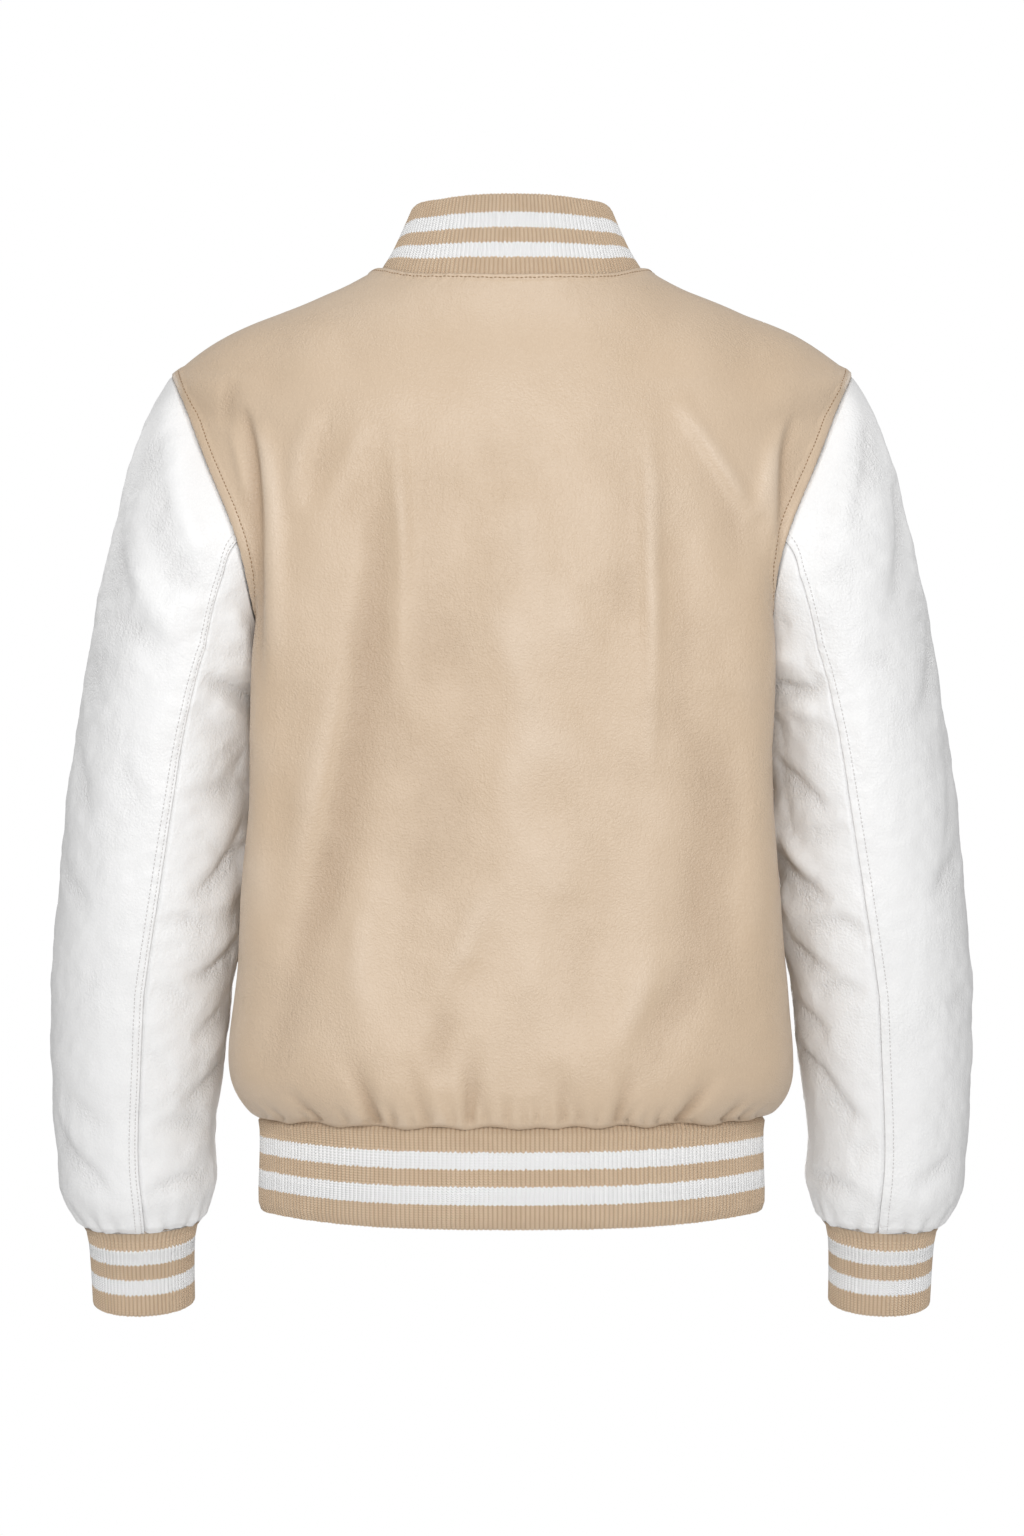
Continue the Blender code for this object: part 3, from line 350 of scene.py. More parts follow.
# Folds on a sleeve, with the same columns, through points of (angle, z): 0 degrees is outermost, 90 the back
# and 180 innermost
SLEEVE_FOLDS = {
    "left": (
        (((10, -88), (40, -123), (59, -158), (74, -185), (90, -212), (104, -231)), 6.2, -3.4),
        (((50, -116), (72, -162), (95, -203)), 11.2, 2.3),
        (((38, -156), (54, -202), (75, -236), (94, -260)), 11.2, 3.2),
        (((22, -160), (33, -191), (45, -212), (61, -232)), 7.5, -2.9),
        (((47, -158), (62, -185), (78, -208), (95, -227)), 7.5, -1.6),
        (((60, -134), (78, -165), (94, -188)), 5.6, -1.8),
        (((40, -242), (57, -246), (76, -256), (93, -281)), 7.5, -2.6),
        (((115, -282), (133, -289), (150, -294), (172, -297)), 4.5, -4.8),
        (((122, -277), (145, -275), (164, -280)), 7.5, 3.2),
        (((126, -298), (145, -308), (162, -325), (172, -348)), 11.2, 4.2),
        (((115, -222), (128, -231), (142, -239)), 3.8, -2.7),
        (((98, -192), (112, -210), (121, -224)), 6.2, 2.3),
        (((121, -236), (132, -252), (143, -269)), 7.5, 2.6),
        (((110, -302), (124, -312), (138, -326)), 6.2, -2),
        (((27, -266), (34, -285), (47, -308)), 7.5, -1.8),
        (((20, -318), (29, -337), (40, -360), (51, -387)), 6.2, -2.4),
        (((65, -337), (77, -357), (87, -379)), 5.6, -2),
        (((16, -396), (26, -415), (42, -428), (56, -445)), 6.2, -2.6),
        (((114, -369), (129, -360), (145, -357), (168, -357)), 6.2, -2.3),
        (((122, -434), (140, -418), (153, -404), (178, -395)), 4.8, -4.8),
        (((135, -397), (150, -380), (165, -362)), 11.2, 3.7),
        (((138, -441), (160, -426), (176, -415)), 8.8, 2.6),
        (((98, -451), (114, -448), (126, -450), (140, -457)), 5, -2.9),
        (((121, -490), (140, -485), (155, -476), (173, -460)), 4.5, -4.2),
        (((133, -471), (152, -463), (166, -450)), 7.5, 2),
        (((101, -494), (116, -499), (136, -509)), 5.6, -2),
        (((131, -533), (148, -520), (168, -507)), 5, -2.9),
        (((138, -548), (158, -536), (172, -528)), 8.8, 2.1),
        (((128, -579), (146, -566), (160, -557), (178, -547)), 5, -3.8),
        (((106, -594), (127, -590), (154, -587)), 5.6, -2.2),
        (((130, -612), (148, -607), (165, -600)), 8.8, 2.1),
        (((96, -528), (106, -546), (122, -560)), 5, -1.8),
        (((99, -646), (119, -633), (139, -629), (164, -626)), 5, -3.5),
        (((16, -584), (32, -604), (52, -620), (66, -632), (77, -648)), 6.2, -3.2),
        (((32, -570), (56, -582), (77, -599)), 6.2, -2),
        (((91, -603), (102, -612), (111, -622)), 5, -1.6),
        (((152, -346), (176, -352), (205, -350)), 17, 6.0),
        (((156, -392), (178, -399), (205, -396)), 15, 6.0),
        (((160, -452), (180, -458), (200, -456)), 14, 3.0),
    ),
    "right": (
        (((0, -76), (9, -86), (31, -111), (45, -135), (61, -163), (74, -188)), 5.6, -3.2),
        (((20, -140), (27, -160), (35, -183), (49, -215), (66, -249)), 5.6, -2.6),
        (((44, -150), (52, -190), (70, -225)), 11.2, 2.3),
        (((30, -99), (49, -126), (66, -150), (83, -177), (98, -203)), 6.2, -2),
        (((72, -204), (86, -211), (99, -226)), 7.5, -1.8),
        (((58, -260), (72, -268), (80, -273), (94, -287)), 10, -2.1),
        (((18, -246), (26, -268), (39, -294), (56, -319)), 6.2, -2.4),
        (((164, -291), (145, -288), (133, -290), (121, -289), (116, -279)), 4.8, -5),
        (((150, -272), (136, -269), (122, -272)), 7.5, 3.2),
        (((164, -306), (140, -302), (120, -304)), 7.5, 2.4),
        (((142, -316), (124, -317), (107, -323)), 6.2, -2.4),
        (((130, -238), (127, -243), (122, -248)), 3.8, -2.3),
        (((102, -196), (110, -214), (118, -227)), 6.2, 2.3),
        (((164, -339), (153, -347), (136, -358), (114, -378)), 5, -4.4),
        (((178, -384), (158, -395), (146, -407), (133, -420)), 7.5, 4.2),
        (((154, -386), (123, -389), (108, -383)), 6.2, -2.2),
        (((178, -404), (160, -412), (141, -425), (122, -438)), 6.2, -5),
        (((150, -454), (122, -449), (107, -454), (97, -461)), 5, -3.4),
        (((174, -462), (155, -470), (140, -479), (122, -487)), 5, -4.2),
        (((174, -424), (160, -440), (153, -454)), 7.5, 2.6),
        (((144, -499), (121, -494), (104, -501)), 5, -2.9),
        (((171, -504), (150, -516), (132, -529)), 5, -3.2),
        (((178, -533), (160, -545), (142, -557), (122, -580), (108, -594)), 5.6, -4.2),
        (((150, -574), (135, -581), (118, -588)), 6.2, -2),
        (((124, -611), (112, -607), (102, -604)), 5.6, -2.1),
        (((175, -628), (150, -631), (133, -633), (102, -649)), 5.2, -3.6),
        (((77, -640), (54, -622), (30, -613)), 5.6, -2.8),
        (((56, -437), (41, -417), (22, -401), (10, -390)), 5.6, -2.8),
        (((50, -510), (35, -503), (22, -497)), 6.2, -1.9),
        (((17, -318), (21, -333), (29, -377), (51, -433)), 6.2, -2),
        (((154, -322), (178, -326), (206, -324)), 15, 5.5),
        (((154, -374), (177, -378), (206, -376)), 15, 6.5),
        (((158, -440), (180, -446), (202, -444)), 14, 3.5),
    ),
}
OUTER_FOLDS = (            # low ones that cross the outermost line, the same on both sleeves
    (((-44, -124), (-12, -150), (24, -186)), 10, -0.8),
    (((34, -206), (4, -230), (-38, -246)), 12, 0.7),
    (((-46, -258), (-10, -288), (30, -322)), 10, -0.9),
    (((38, -346), (6, -368), (-36, -382)), 12, 0.7),
    (((-38, -394), (-6, -420), (28, -452)), 10, -0.8),
    (((32, -474), (0, -494), (-36, -504)), 12, 0.7),
    (((-40, -516), (-8, -546), (26, -576)), 10, -0.7),
)
OUTER_CALM = 0.1           # share of the other folds' height left along that line
OUTER_ANGLE = 34.0         # degrees from it at which they are whole again
HIDDEN_TURN = 7.0          # the front of a sleeve has its back's folds again, turned, dropped and softened
HIDDEN_DROP = 16.0
HIDDEN_SHARE = 0.85
CUFF_GATHER_ANGLES = (8, 31, 52, 70, 96, 118, 141, 160, 183, 204, 228, 247, 271, 292, 315, 338)
CUFF_GATHER_DEPTH = 2.8
CUFF_SHALLOW_SHARE = 0.65  # depth of every second one, as a share of that
CUFF_GATHER_WIDTH = 5.0    # degrees
CUFF_GATHER_LEAN = 4.0     # degrees that upper ends lean, by -2 to 2 of this in turn
CUFF_GATHER_LEANS = 5
CUFF_GATHER_REACH = 26.0
CUFF_TURN = 6.0            # full depth up to here
CUFF_LOBE = 1.0            # how far the sleeve's end hangs over the cuff, in lobes
CUFF_LOBES = 7.0           # that many around
TOP_FADE_ROWS = 0.8        # rings over which a sleeve's folds set in below the armhole
END_FADE_ROWS = 0.6        # and die out above the cuff
EDGE_CALM = 6.5            # a torso's folds die out within this distance of its sides
NECK_CALM = 21.0           # and of the neck seam
PATH_SAMPLES = 18          # points along a fold
FOLD_REACH = 2.5           # a fold is worked out as far as this many soft half-widths
SOFT_SIDE = 1.8            # how much wider the soft side of a trough is
END_FADE = 0.7             # how blunt a fold's ends are: less is blunter

# Ripples: seed, wavelength across, wavelength down, height
LEATHER_RIPPLES = ((3, 60.0, 90.0, 0.40), (8, 22.0, 30.0, 0.06), (15, 8.0, 9.0, 0.015))
SLEEVE_RIPPLES = ((5, 44.0, 50.0, 0.26), (9, 15.0, 17.0, 0.14), (21, 6.0, 6.5, 0.05))
SEED_STEPS = {"left": 0, "right": 40}   # added to a sleeve's seeds
RIPPLE_WAVES = 28
RIPPLE_PACES = (0.7, 1.4)  # range of the waves' numbers to a wavelength
RIPPLE_SHARE = 0.35        # share of a panel's ripples left at its edges
SLEEVE_RIPPLE_SHARE = 0.3  # and of a sleeve's at its top, growing over the run
SLEEVE_RIPPLE_RUN = 30.0

# Mesh: steps in from an edge, rows and columns
EDGE_STRIP = (0.0, 0.6, 1.2, 2.0, 2.8, 3.6, 4.4, 5.0, 5.6, 6.2, 7.0, 7.8, 8.6, 10.0, 12.0)
PANEL_ROW_COUNT = 261
BACK_COLUMN_COUNT = 291
FRONT_COLUMN_COUNT = 151
SLEEVE_ROW_COUNT = 261
UPPER_COLUMN_COUNT = 171
UNDER_COLUMN_COUNT = 91
DEGREE_LENGTH = 1.3        # length of one degree around a sleeve, on the whole
RIB_COLUMNS = 8            # columns to a rib
RIB_ROWS = (0.0, 0.05, 0.13, 0.24, 0.36, 0.5, 0.64, 0.78, 0.9, 1.0)   # shares of a band's height
FOLD_TURNS = (30.0, 60.0, 90.0, 120.0, 150.0)                         # angles around its folded edge

# Looks: colours are linear, scales are to a metre and bump is in metres
# In both leathers the deep colour is painted shade in creases and hollows, and also the darker tone of the
# mottled grain; the raised colour is a painted highlight on ridges
TAN_LEATHER = {
    "colour": (0.622, 0.485, 0.352), "second_colour": (0.588, 0.447, 0.312),
    "deep_colour": (0.30, 0.18, 0.095), "painted_highlight_colour": (0.74, 0.62, 0.50),
    "painted_shade_share": 0.45, "painted_highlight_share": 0.5, "mottle_share": 0.06,
    "roughness": 0.38, "specular": 0.5, "sheen": 0.06,
    "pebbles": 700.0, "pebble_height": 0.5, "fine_height": 0.3, "wrinkles": 210.0, "wrinkle_height": 0.6,
    "patchiness": 0.5, "creased": 0.5, "bump": 0.0008,
}
WHITE_LEATHER = {
    "colour": (0.855, 0.853, 0.852), "second_colour": (0.830, 0.828, 0.827),
    "deep_colour": (0.58, 0.56, 0.55), "painted_highlight_colour": (0.93, 0.93, 0.93),
    "painted_shade_share": 0.30, "painted_highlight_share": 0.5, "mottle_share": 0.05,
    "roughness": 0.42, "specular": 0.42, "sheen": 0.02,
    "pebbles": 600.0, "pebble_height": 0.6, "fine_height": 0.3, "wrinkles": 190.0, "wrinkle_height": 0.75,
    "patchiness": 0.6, "creased": 0.9, "bump": 0.00065,
}
PAINTED_SHADE_RANGE = (0.0, -7.0)     # relief in mm over which painted shade makes leather darker in its creases and hollows
PAINTED_HIGHLIGHT_RANGE = (0.3, 4.5)      # and over which a painted highlight makes it paler on its ridges
CREASED_RANGE = (-0.3, -3.0)   # and over which its grain gets rougher
FINE_SCALE = 2.2               # grain finer than the pebbles, as a factor on their scale
WRINKLE_STRETCH = 0.4          # scale of wrinkles from top to bottom, as a share of that across
ROUGHNESS_RANGE = 0.16         # how much the fine grain changes leather's roughness
WARP_SHARE = 0.5               # how far large soft patches shift where its pebbles are mottled
KNIT_TAN = (0.78, 0.605, 0.43)
KNIT_TAN_DARK = (0.74, 0.565, 0.395)
# The groove colours are painted shade in the grooves between ribs
KNIT_TAN_GROOVE_SHADE = (0.38, 0.25, 0.15)
KNIT_WHITE = (0.98, 0.98, 0.98)
KNIT_WHITE_GROOVE_SHADE = (0.86, 0.855, 0.85)
METAL = (0.66, 0.64, 0.61)
METAL_DARK = (0.50, 0.48, 0.45)
METAL_ROUGHNESS = 0.18         # in its grain's lowest places
METAL_ROUGHNESS_RANGE = 0.25
TWILL_TURNS = 12.0             # how closely the lining's ridges follow each other
TAN_THREAD = (0.34, 0.20, 0.10)
WHITE_THREAD = (0.76, 0.745, 0.73)
TAN_LINING = ((0.36, 0.25, 0.16), (0.31, 0.21, 0.13))
PALE_LINING = ((0.60, 0.53, 0.46), (0.54, 0.47, 0.40))
THREAD_SHADE = 0.7             # a thread's darker colour, as a share of its own

# Knit: where its stripes change colour, as shares of a band's height from the seam to the fold
COLLAR_STRIPES = (0.307, 0.458, 0.619, 0.792)
HEM_STRIPES = (0.290, 0.432, 0.580, 0.756)
CUFF_STRIPES = (0.229, 0.435, 0.620, 0.789)
STRIPE_BLUR = 0.004
COLLAR_HEIGHT = 65.6       # heights that courses are counted over
CUFF_HEIGHT = 58.5
COURSE = 1.5               # height of one knitted course
COURSE_SLANT = 0.55        # how much a knit stitch's V rises from groove to groove, in courses
STRIPE_SLANT = 0.5         # and how much a stripe's edge does
STRIPE_WANDER = 1.2        # range over which it wanders from rib to rib, in courses
FOLDED_OVER = 1.001        # share of the height past which a band is its own inside
GROOVE_POWER = 3.0         # how narrow the grooves between ribs are: more is narrower
GROOVE_SHADE = 0.55        # how much darker they are, as painted shade
COURSE_SHADE = 0.22        # and the gaps between courses, also painted shade
FIBRE_HEIGHT = 0.25        # relief of single fibres, as a share of that of a stitch

SIDES = (("left", 1), ("right", -1))

# Studio, in metres and watts
BACKDROP_STRENGTH = 1.0
AMBIENT_STRENGTH = 0.42
WHITE = (1.0, 1.0, 1.0, 1.0)
JACKET_MIDDLE = (0.0, 0.0, -0.35)
LIGHT_COLUMNS = ("name", "place", "target", "size", "power")
LIGHTS = (
    ("back_key", (0.05, 3.3, 0.7), JACKET_MIDDLE, 0.9, 40.0),
    ("back_fill", (-0.3, 3.4, -0.5), JACKET_MIDDLE, 1.2, 8.0),
    ("back_inner_left", (1.0, 3.2, -0.3), (-0.26, 0.0, -0.40), 0.7, 9.0),
    ("back_inner_right", (-1.0, 3.2, -0.3), (0.26, 0.0, -0.40), 0.7, 9.0),
    ("back_left", (2.0, 2.2, 0.6), JACKET_MIDDLE, 0.8, 4.0),
    ("back_right", (-1.9, 2.2, 0.5), JACKET_MIDDLE, 0.8, 4.0),
    ("top", (0.0, 0.4, 2.4), (0.0, 0.0, -0.30), 1.4, 18.0),
    ("front_key", (-0.05, -3.3, 0.0), JACKET_MIDDLE, 0.9, 36.0),
    ("front_fill", (0.3, -3.4, -0.5), JACKET_MIDDLE, 1.2, 12.0),
    ("front_left", (-2.0, -2.2, 0.6), JACKET_MIDDLE, 0.8, 6.0),
    ("front_right", (1.9, -2.2, 0.5), JACKET_MIDDLE, 0.8, 6.0),
)
FLOOR_CORNERS = ((-1.6, -1.6, -1.45), (1.6, -1.6, -1.45), (1.6, 1.6, -1.45), (-1.6, 1.6, -1.45))
FLOOR_COLOUR = (0.80, 0.80, 0.80)
SECOND_FLOOR_COLOUR = (0.77, 0.77, 0.77)
SEEN_DEPTH = 20.0          # how far the camera sees


# ---------------------------------------------------------------- curves and sections, as in the CAD

def natural_spline(points, places):
    """Points on a C2 curve through points[0], points[1], ... at the given index places."""
    points = np.asarray(points, float)
    count = len(points)
    bend = np.zeros_like(points)
    if count > 2:
        system = 4.0 * np.eye(count - 2) + np.eye(count - 2, k=1) + np.eye(count - 2, k=-1)
        right = 6.0 * (points[2:] - 2.0 * points[1:-1] + points[:-2])
        bend[1:-1] = np.linalg.solve(system, right.reshape(count - 2, -1)).reshape(right.shape)
    places = np.atleast_1d(np.asarray(places, float))
    cell = np.clip(np.floor(places).astype(int), 0, count - 2)
    far = (places - cell).reshape((-1,) + (1,) * (points.ndim - 1))
    near = 1.0 - far
    straight = near * points[cell] + far * points[cell + 1]
    return straight + ((near ** 3 - near) * bend[cell] + (far ** 3 - far) * bend[cell + 1]) / 6.0


def points_between(places, known_places, points):
    """Points at the given places on the straight runs between known points."""
    return np.stack([np.interp(places, known_places, points[:, axis]) for axis in range(3)], 1)


def broken_spline(points, places, breaks):
    """A natural spline in separate stretches, so that it may turn a corner at each break."""
    places = np.atleast_1d(np.asarray(places, float))
    stops = [0, *breaks, len(points) - 1]
    result = np.zeros((len(places),) + points.shape[1:])
    for start, end in zip(stops[:-1], stops[1:]):
        inside = (places >= start) & (places <= end)
        if inside.any():
            result[inside] = natural_spline(points[start:end + 1], places[inside] - start)
    return result


def smooth_step(value):
    """From 0 to 1 with a level start and end."""
    value = np.clip(value, 0.0, 1.0)
    return value * value * (3.0 - 2.0 * value)


def bell(distance, half_width):
    """1 at no distance, dying out over the half-width."""
    return np.exp(-(distance / half_width) ** 2)


def faded(least, share):
    """A share from 0 to 1 brought to between the least and 1."""
    return least + (1.0 - least) * share


def unit(vectors):
    """The vectors at length 1."""
    return vectors / np.maximum(np.linalg.norm(vectors, axis=-1, keepdims=True), TINY)


def run_along(line):
    """Distance run along a line of points, from its start."""
    return np.concatenate([[0.0], np.cumsum(np.linalg.norm(np.diff(line, axis=0), axis=1))])


def lengths_along(points, axis):
    """Distance run along a grid of points in one direction, from its start."""
    steps = np.linalg.norm(np.diff(points, axis=axis), axis=2)
    start = np.zeros_like(np.take(steps, [0], axis=axis))
    return np.cumsum(np.concatenate([start, steps], axis), axis=axis)


def panel_controls(table):
    """The centre, middle, corner and edge points of each section of a half panel."""
    values = dict(zip(PANEL_COLUMNS, np.array(table, float).T))
    fall = values["edge_z"] - values["centre_z"]
    centre = (0 * fall, values["centre_y"], values["centre_z"])
    middle = (values["mid_x"], values["mid_y"], values["centre_z"] + MID_FALL * fall)
    corner = (values["corner_x"], values["corner_y"], values["centre_z"] + CORNER_FALL * fall)
    edge = (values["edge_x"], values["edge_y"], values["edge_z"])
    return np.stack([np.stack(point, 1) for point in (centre, middle, corner, edge)], 1)


def section_controls(table, other_table, rows):
    """The control points of the sections at the given rows, led on past the panel's edge."""
    controls = panel_controls(table)
    beyond = panel_controls(other_table)[:, CORNER]
    armhole = slice(TIP + 1, UNDERARM)
    edge = controls[armhole, EDGE]
    beyond[armhole] = edge + BEYOND_ARMHOLE * (edge - controls[armhole, CORNER])
    controls = np.concatenate([controls, beyond[:, None]], 1)
    result = natural_spline(controls, rows)
    result[:, EDGE] = broken_spline(controls[:, EDGE], rows, (TIP, UNDERARM))
    past = np.clip(np.asarray(rows, float) - TIP, 0.0, 1.0)
    result[:, EDGE, 1] += np.sign(controls[TIP + 1, EDGE, 1]) * CAP_ROUND * past * (1.0 - past) ** 2
    result[:, BEYOND] = points_between(rows, range(len(controls)), controls[:, BEYOND])
    return result


def along_section(controls, shares):
    """Points on one section: share 0 is the centre line, 1 the left edge and -1 the right edge."""
    mirrored = controls[:0:-1] * MIRROR
    places = len(mirrored) + EDGE * np.asarray(shares, float)
    return natural_spline(np.concatenate([mirrored, controls]), places)


def share_at_x(controls, x):
    """The share at which a section, near its centre, passes the given x."""
    shares = np.linspace(-NEAR_CENTRE, NEAR_CENTRE, SECTION_SAMPLES)
    return np.interp(x, along_section(controls, shares)[:, 0], shares)


def surface_normals(points):
    """Unit normals of a grid of points, to the side given by columns crossed with rows."""
    return unit(np.cross(np.gradient(points, axis=0), np.gradient(points, axis=1)))


def facing_out(normals, points, middle):
    """The normals turned so that on the whole they look away from the middle."""
    away = np.sum(normals * (points - middle) * LEVEL, axis=2).mean()
    return normals * np.sign(away)


def raised(points, normals, height, sideways):
    """The points moved out along their normals, and sideways along the normals' level directions."""
    level = unit(normals * LEVEL)
    return points + normals * height[:, :, None] + level * sideways[:, :, None]


def loop_around(front, back, first_x):
    """A line from first_x on a front section's left half, around the back one, to its mirror image."""
    left = along_section(front, np.linspace(share_at_x(front, first_x), 1.0, LOOP_SAMPLES))
    behind = along_section(back, np.linspace(1.0, -1.0, 2 * LOOP_SAMPLES))
    return np.concatenate([left, behind[1:-1], left[::-1] * MIRROR])


def lapped(x):
    """How far, from 0 to 1, the right front has gone down beneath the left one at x."""
    return smooth_step((LAP + LAP_FADE - np.abs(x)) / LAP_FADE)


# ---------------------------------------------------------------- relief

def fold_heights(across, up, folds):
    """How far the folds raise the points at (across, up). Each fold is a smooth line through its path.

    A trough falls steeply on the left hand of its path, taken from the smaller across, and softly on the
    right.
    """
    total = np.zeros_like(across)
    for fold in folds:
        row = dict(zip(FOLD_COLUMNS, fold))
        corners = np.array(row["path"], float)
        if corners[0, 0] > corners[-1, 0]:
            corners = corners[::-1]
        line = natural_spline(corners, np.linspace(0.0, len(corners) - 1, PATH_SAMPLES))
        reach = FOLD_REACH * SOFT_SIDE * row["half_width"]
        low, high = line.min(axis=0) - reach, line.max(axis=0) + reach
        near = (across > low[0]) & (across < high[0]) & (up > low[1]) & (up < high[1])
        spots = np.stack([across[near], up[near]], 1)
        closest = np.full(len(spots), np.inf)
        share, right_hand = np.zeros(len(spots)), np.zeros(len(spots), bool)
        for number, (start, end) in enumerate(zip(line[:-1], line[1:])):
            run = end - start
            place = np.clip((spots - start) @ run / (run @ run), 0.0, 1.0)
            off = spots - start - place[:, None] * run
            length = np.linalg.norm(off, axis=1)
            nearer = length < closest
            closest = np.where(nearer, length, closest)
            share = np.where(nearer, (number + place) / (PATH_SAMPLES - 1), share)
            right_hand = np.where(nearer, off @ (run[1], -run[0]) > 0.0, right_hand)
        fade = np.sin(math.pi * share) ** END_FADE
        soft = right_hand & (row["height"] < 0.0)
        half_width = row["half_width"] * np.where(soft, SOFT_SIDE, 1.0)
        total[near] += row["height"] * fade * bell(closest, half_width)
    return total


def gather_depths(across, above, gathers):
    """How far the gathers press in the points at a distance above the hem seam."""
    total = np.zeros_like(across)
    for gather in gathers:
        row = dict(zip(GATHER_COLUMNS, gather))
        rise = np.clip((above - HEM_TURN) / row["reach"], 0.0, 1.0)
        off = across - row["x"] - row["lean"] * rise
        total -= row["depth"] * (1.0 - rise) * bell(off, row["half_width"] * (1.0 + rise))
    return total * faded(SEAM_SHARE, smooth_step(above / SEAM_SHALLOW))


def puff(above, start):
    """Swell of a panel above a band of ribs, whole from start and dying out further up."""
    return HEM_PUFF * np.exp(-above / HEM_PUFF_REACH) * smooth_step(above / start)


def ripples(across, up, settings):
    """Small uneven waves with no direction of their own, the same at each run."""
    total = np.zeros_like(across)
    for seed, wave_across, wave_up, height in settings:
        chance = np.random.default_rng(seed)
        turns = chance.uniform(0.0, 2.0 * math.pi, (RIPPLE_WAVES, 2))
        for direction, phase in turns:
            pace = chance.uniform(*RIPPLE_PACES) * 2.0 * math.pi
            place = across * math.cos(direction) / wave_across + up * math.sin(direction) / wave_up
            total += height * math.sqrt(2.0 / RIPPLE_WAVES) * np.cos(pace * place + phase)
    return total


def raised_band(distance, width):
    """1 on a band along an edge, and 0 beyond it."""
    return 1.0 - smooth_step((distance - width + BAND_SLOPE / 2) / BAND_SLOPE)


def stitched_line(distance, inset):
    """Height around a row of topstitching at an inset from the edge."""
    return -GROOVE_DEPTH * bell(distance - inset, GROOVE_WIDTH)


def turned_edge(distance, width, inset):
    """Height of a turned edge at a distance in from it: a raised band with a stitched groove."""
    band = TURNED_STEP * raised_band(distance, width) + stitched_line(distance, inset)
    return band - EDGE_ROLL * bell(distance, EDGE_ROLL_WIDTH)


def tucked_share(to_seam):
    """How far, from 0 to 1, a panel has gone down to pass beneath its neighbour at a seam."""
    return smooth_step(1.0 - (to_seam + TUCK) / TUCK_RUN)


def edge_spacing(length, count):
    """Places along a length: fine steps within a strip at both ends, and even steps between."""
    strip = np.array(EDGE_STRIP)
    middle = np.linspace(strip[-1], length - strip[-1], count - 2 * (len(strip) - 1))
    return np.concatenate([strip[:-1], middle, length - strip[-2::-1]])


# ---------------------------------------------------------------- panels of the torso

def panel_rows(table, other_table):
    """Fine places along a panel's sections, closer together at the neck and the hem."""
    rough = np.linspace(0.0, len(table) - 1, SECTION_SAMPLES)
    run = run_along(section_controls(table, other_table, rough)[:, 1])
    return np.interp(edge_spacing(run[-1], PANEL_ROW_COUNT), run, rough)


def panel_grid(table, other_table, columns, whole):
    """A panel's smooth points, with each one's distances from the side seam and from the front edge."""
    rows = panel_rows(table, other_table)
    controls = section_controls(table, other_table, rows)
    tucks = TUCK * smooth_step(np.maximum(TIP - rows, rows - UNDERARM) / TUCK_ROWS) * (not whole)
    points, to_edge, to_front = [], [], []
    for row, tuck in zip(controls, tucks):
        first = -1.0 if whole else share_at_x(row, -LAP)
        shares = np.linspace(first, 1.0 + TUCK_SHARE, 2 * SECTION_SAMPLES)
        run = run_along(along_section(row, shares))
        seam = np.interp(1.0, shares, run)
        places = edge_spacing(seam + tuck, columns)
        if not tuck:
            places[-1] -= SEAM_PULL
        if whole:
            places[0] += SEAM_PULL
        points.append(along_section(row, np.interp(places, run, shares)))
        to_edge.append(seam - places)
        to_front.append(places)
    points, to_edge, to_front = np.stack(points), np.stack(to_edge), np.stack(to_front)
    if whole:
        to_edge = np.minimum(to_edge, to_front)
    return rows, points, to_edge, to_front


def armhole_edges(rows):
    """The left armhole's edge at the given torso rows: first the back's, then the front's."""
    return [section_controls(table, other, rows)[:, EDGE] for table, other in ((BACK, FRONT), (FRONT, BACK))]


def distance_to_curve(points, curve):
    """Distance from each point of a grid to an armhole, only worked out within a box around it."""
    low, high = curve.min(axis=0) - ARMHOLE_REACH, curve.max(axis=0) + ARMHOLE_REACH
    near = ((points > low) & (points < high)).all(axis=2)
    result = np.full(points.shape[:2], FAR_AWAY)
    chosen = points[near]
    closest = np.full(len(chosen), FAR_AWAY)
    for spot in curve:
        closest = np.minimum(closest, np.linalg.norm(chosen - spot, axis=1))
    result[near] = closest
    return result


def panel_relief(rows, points, to_edge, to_front, folds, gathers, whole):
    """Over a panel's smooth points: heights, moves sideways, distances above the hem and to the armholes,
    and the relief that its painted shade and painted highlight follow.
    """
    across, up = points[:, :, 0], points[:, :, 2]
    to_neck = lengths_along(points, 0)
    above = to_neck[-1:] - to_neck
    back, front = armhole_edges(np.linspace(TIP, UNDERARM, 2 * ARMHOLE_STEPS))
    left = np.concatenate([back, front[::-1]])
    to_armhole = distance_to_curve(points, left)
    if whole:
        to_armhole = np.minimum(to_armhole, distance_to_curve(points, left * MIRROR))
    underarm = smooth_step((EDGE_END_ROW - rows) / EDGE_END_ROWS)[:, None]
    calm = smooth_step(to_edge / EDGE_CALM) * smooth_step(to_neck / NECK_CALM)
    relief = fold_heights(across, up, folds) * calm
    fine = ripples(across, up, LEATHER_RIPPLES)
    relief += fine * faded(RIPPLE_SHARE, calm)
    armhole_rows = ((rows >= TIP) & (rows <= UNDERARM))[:, None]
    seamed = ~armhole_rows * bell(to_edge, ROLL_WIDTH)
    height = relief - SEAM_ROLL * seamed
    if not whole:
        height -= (BODY_WALL + TUCK_CLEARANCE) * ~armhole_rows * tucked_share(to_edge)
    height += ARMHOLE_STEP * turned_edge(to_armhole, ARMHOLE_EDGE, ARMHOLE_STITCH_IN) * underarm
    height += turned_edge(to_neck, TURNED_EDGE, STITCH_IN)
    pucker = PUCKER * np.cos(2.0 * math.pi * (across + up) / PUCKER_WAVE + PUCKER_SHIFT * fine)
    height += pucker * (bell(to_neck - STITCH_IN, PUCKER_WIDTH)
                        + bell(to_armhole - ARMHOLE_STITCH_IN, PUCKER_WIDTH) * underarm)
    if not whole:
        height += stitched_line(to_front, FRONT_STITCH_IN) - SEAM_ROLL * bell(to_front, ROLL_WIDTH)
    sideways = gather_depths(across, above, gathers) * smooth_step(to_edge / EDGE_CALM)
    sideways += puff(above, HEM_PUFF_START)
    return height, sideways, above, to_armhole, relief + sideways


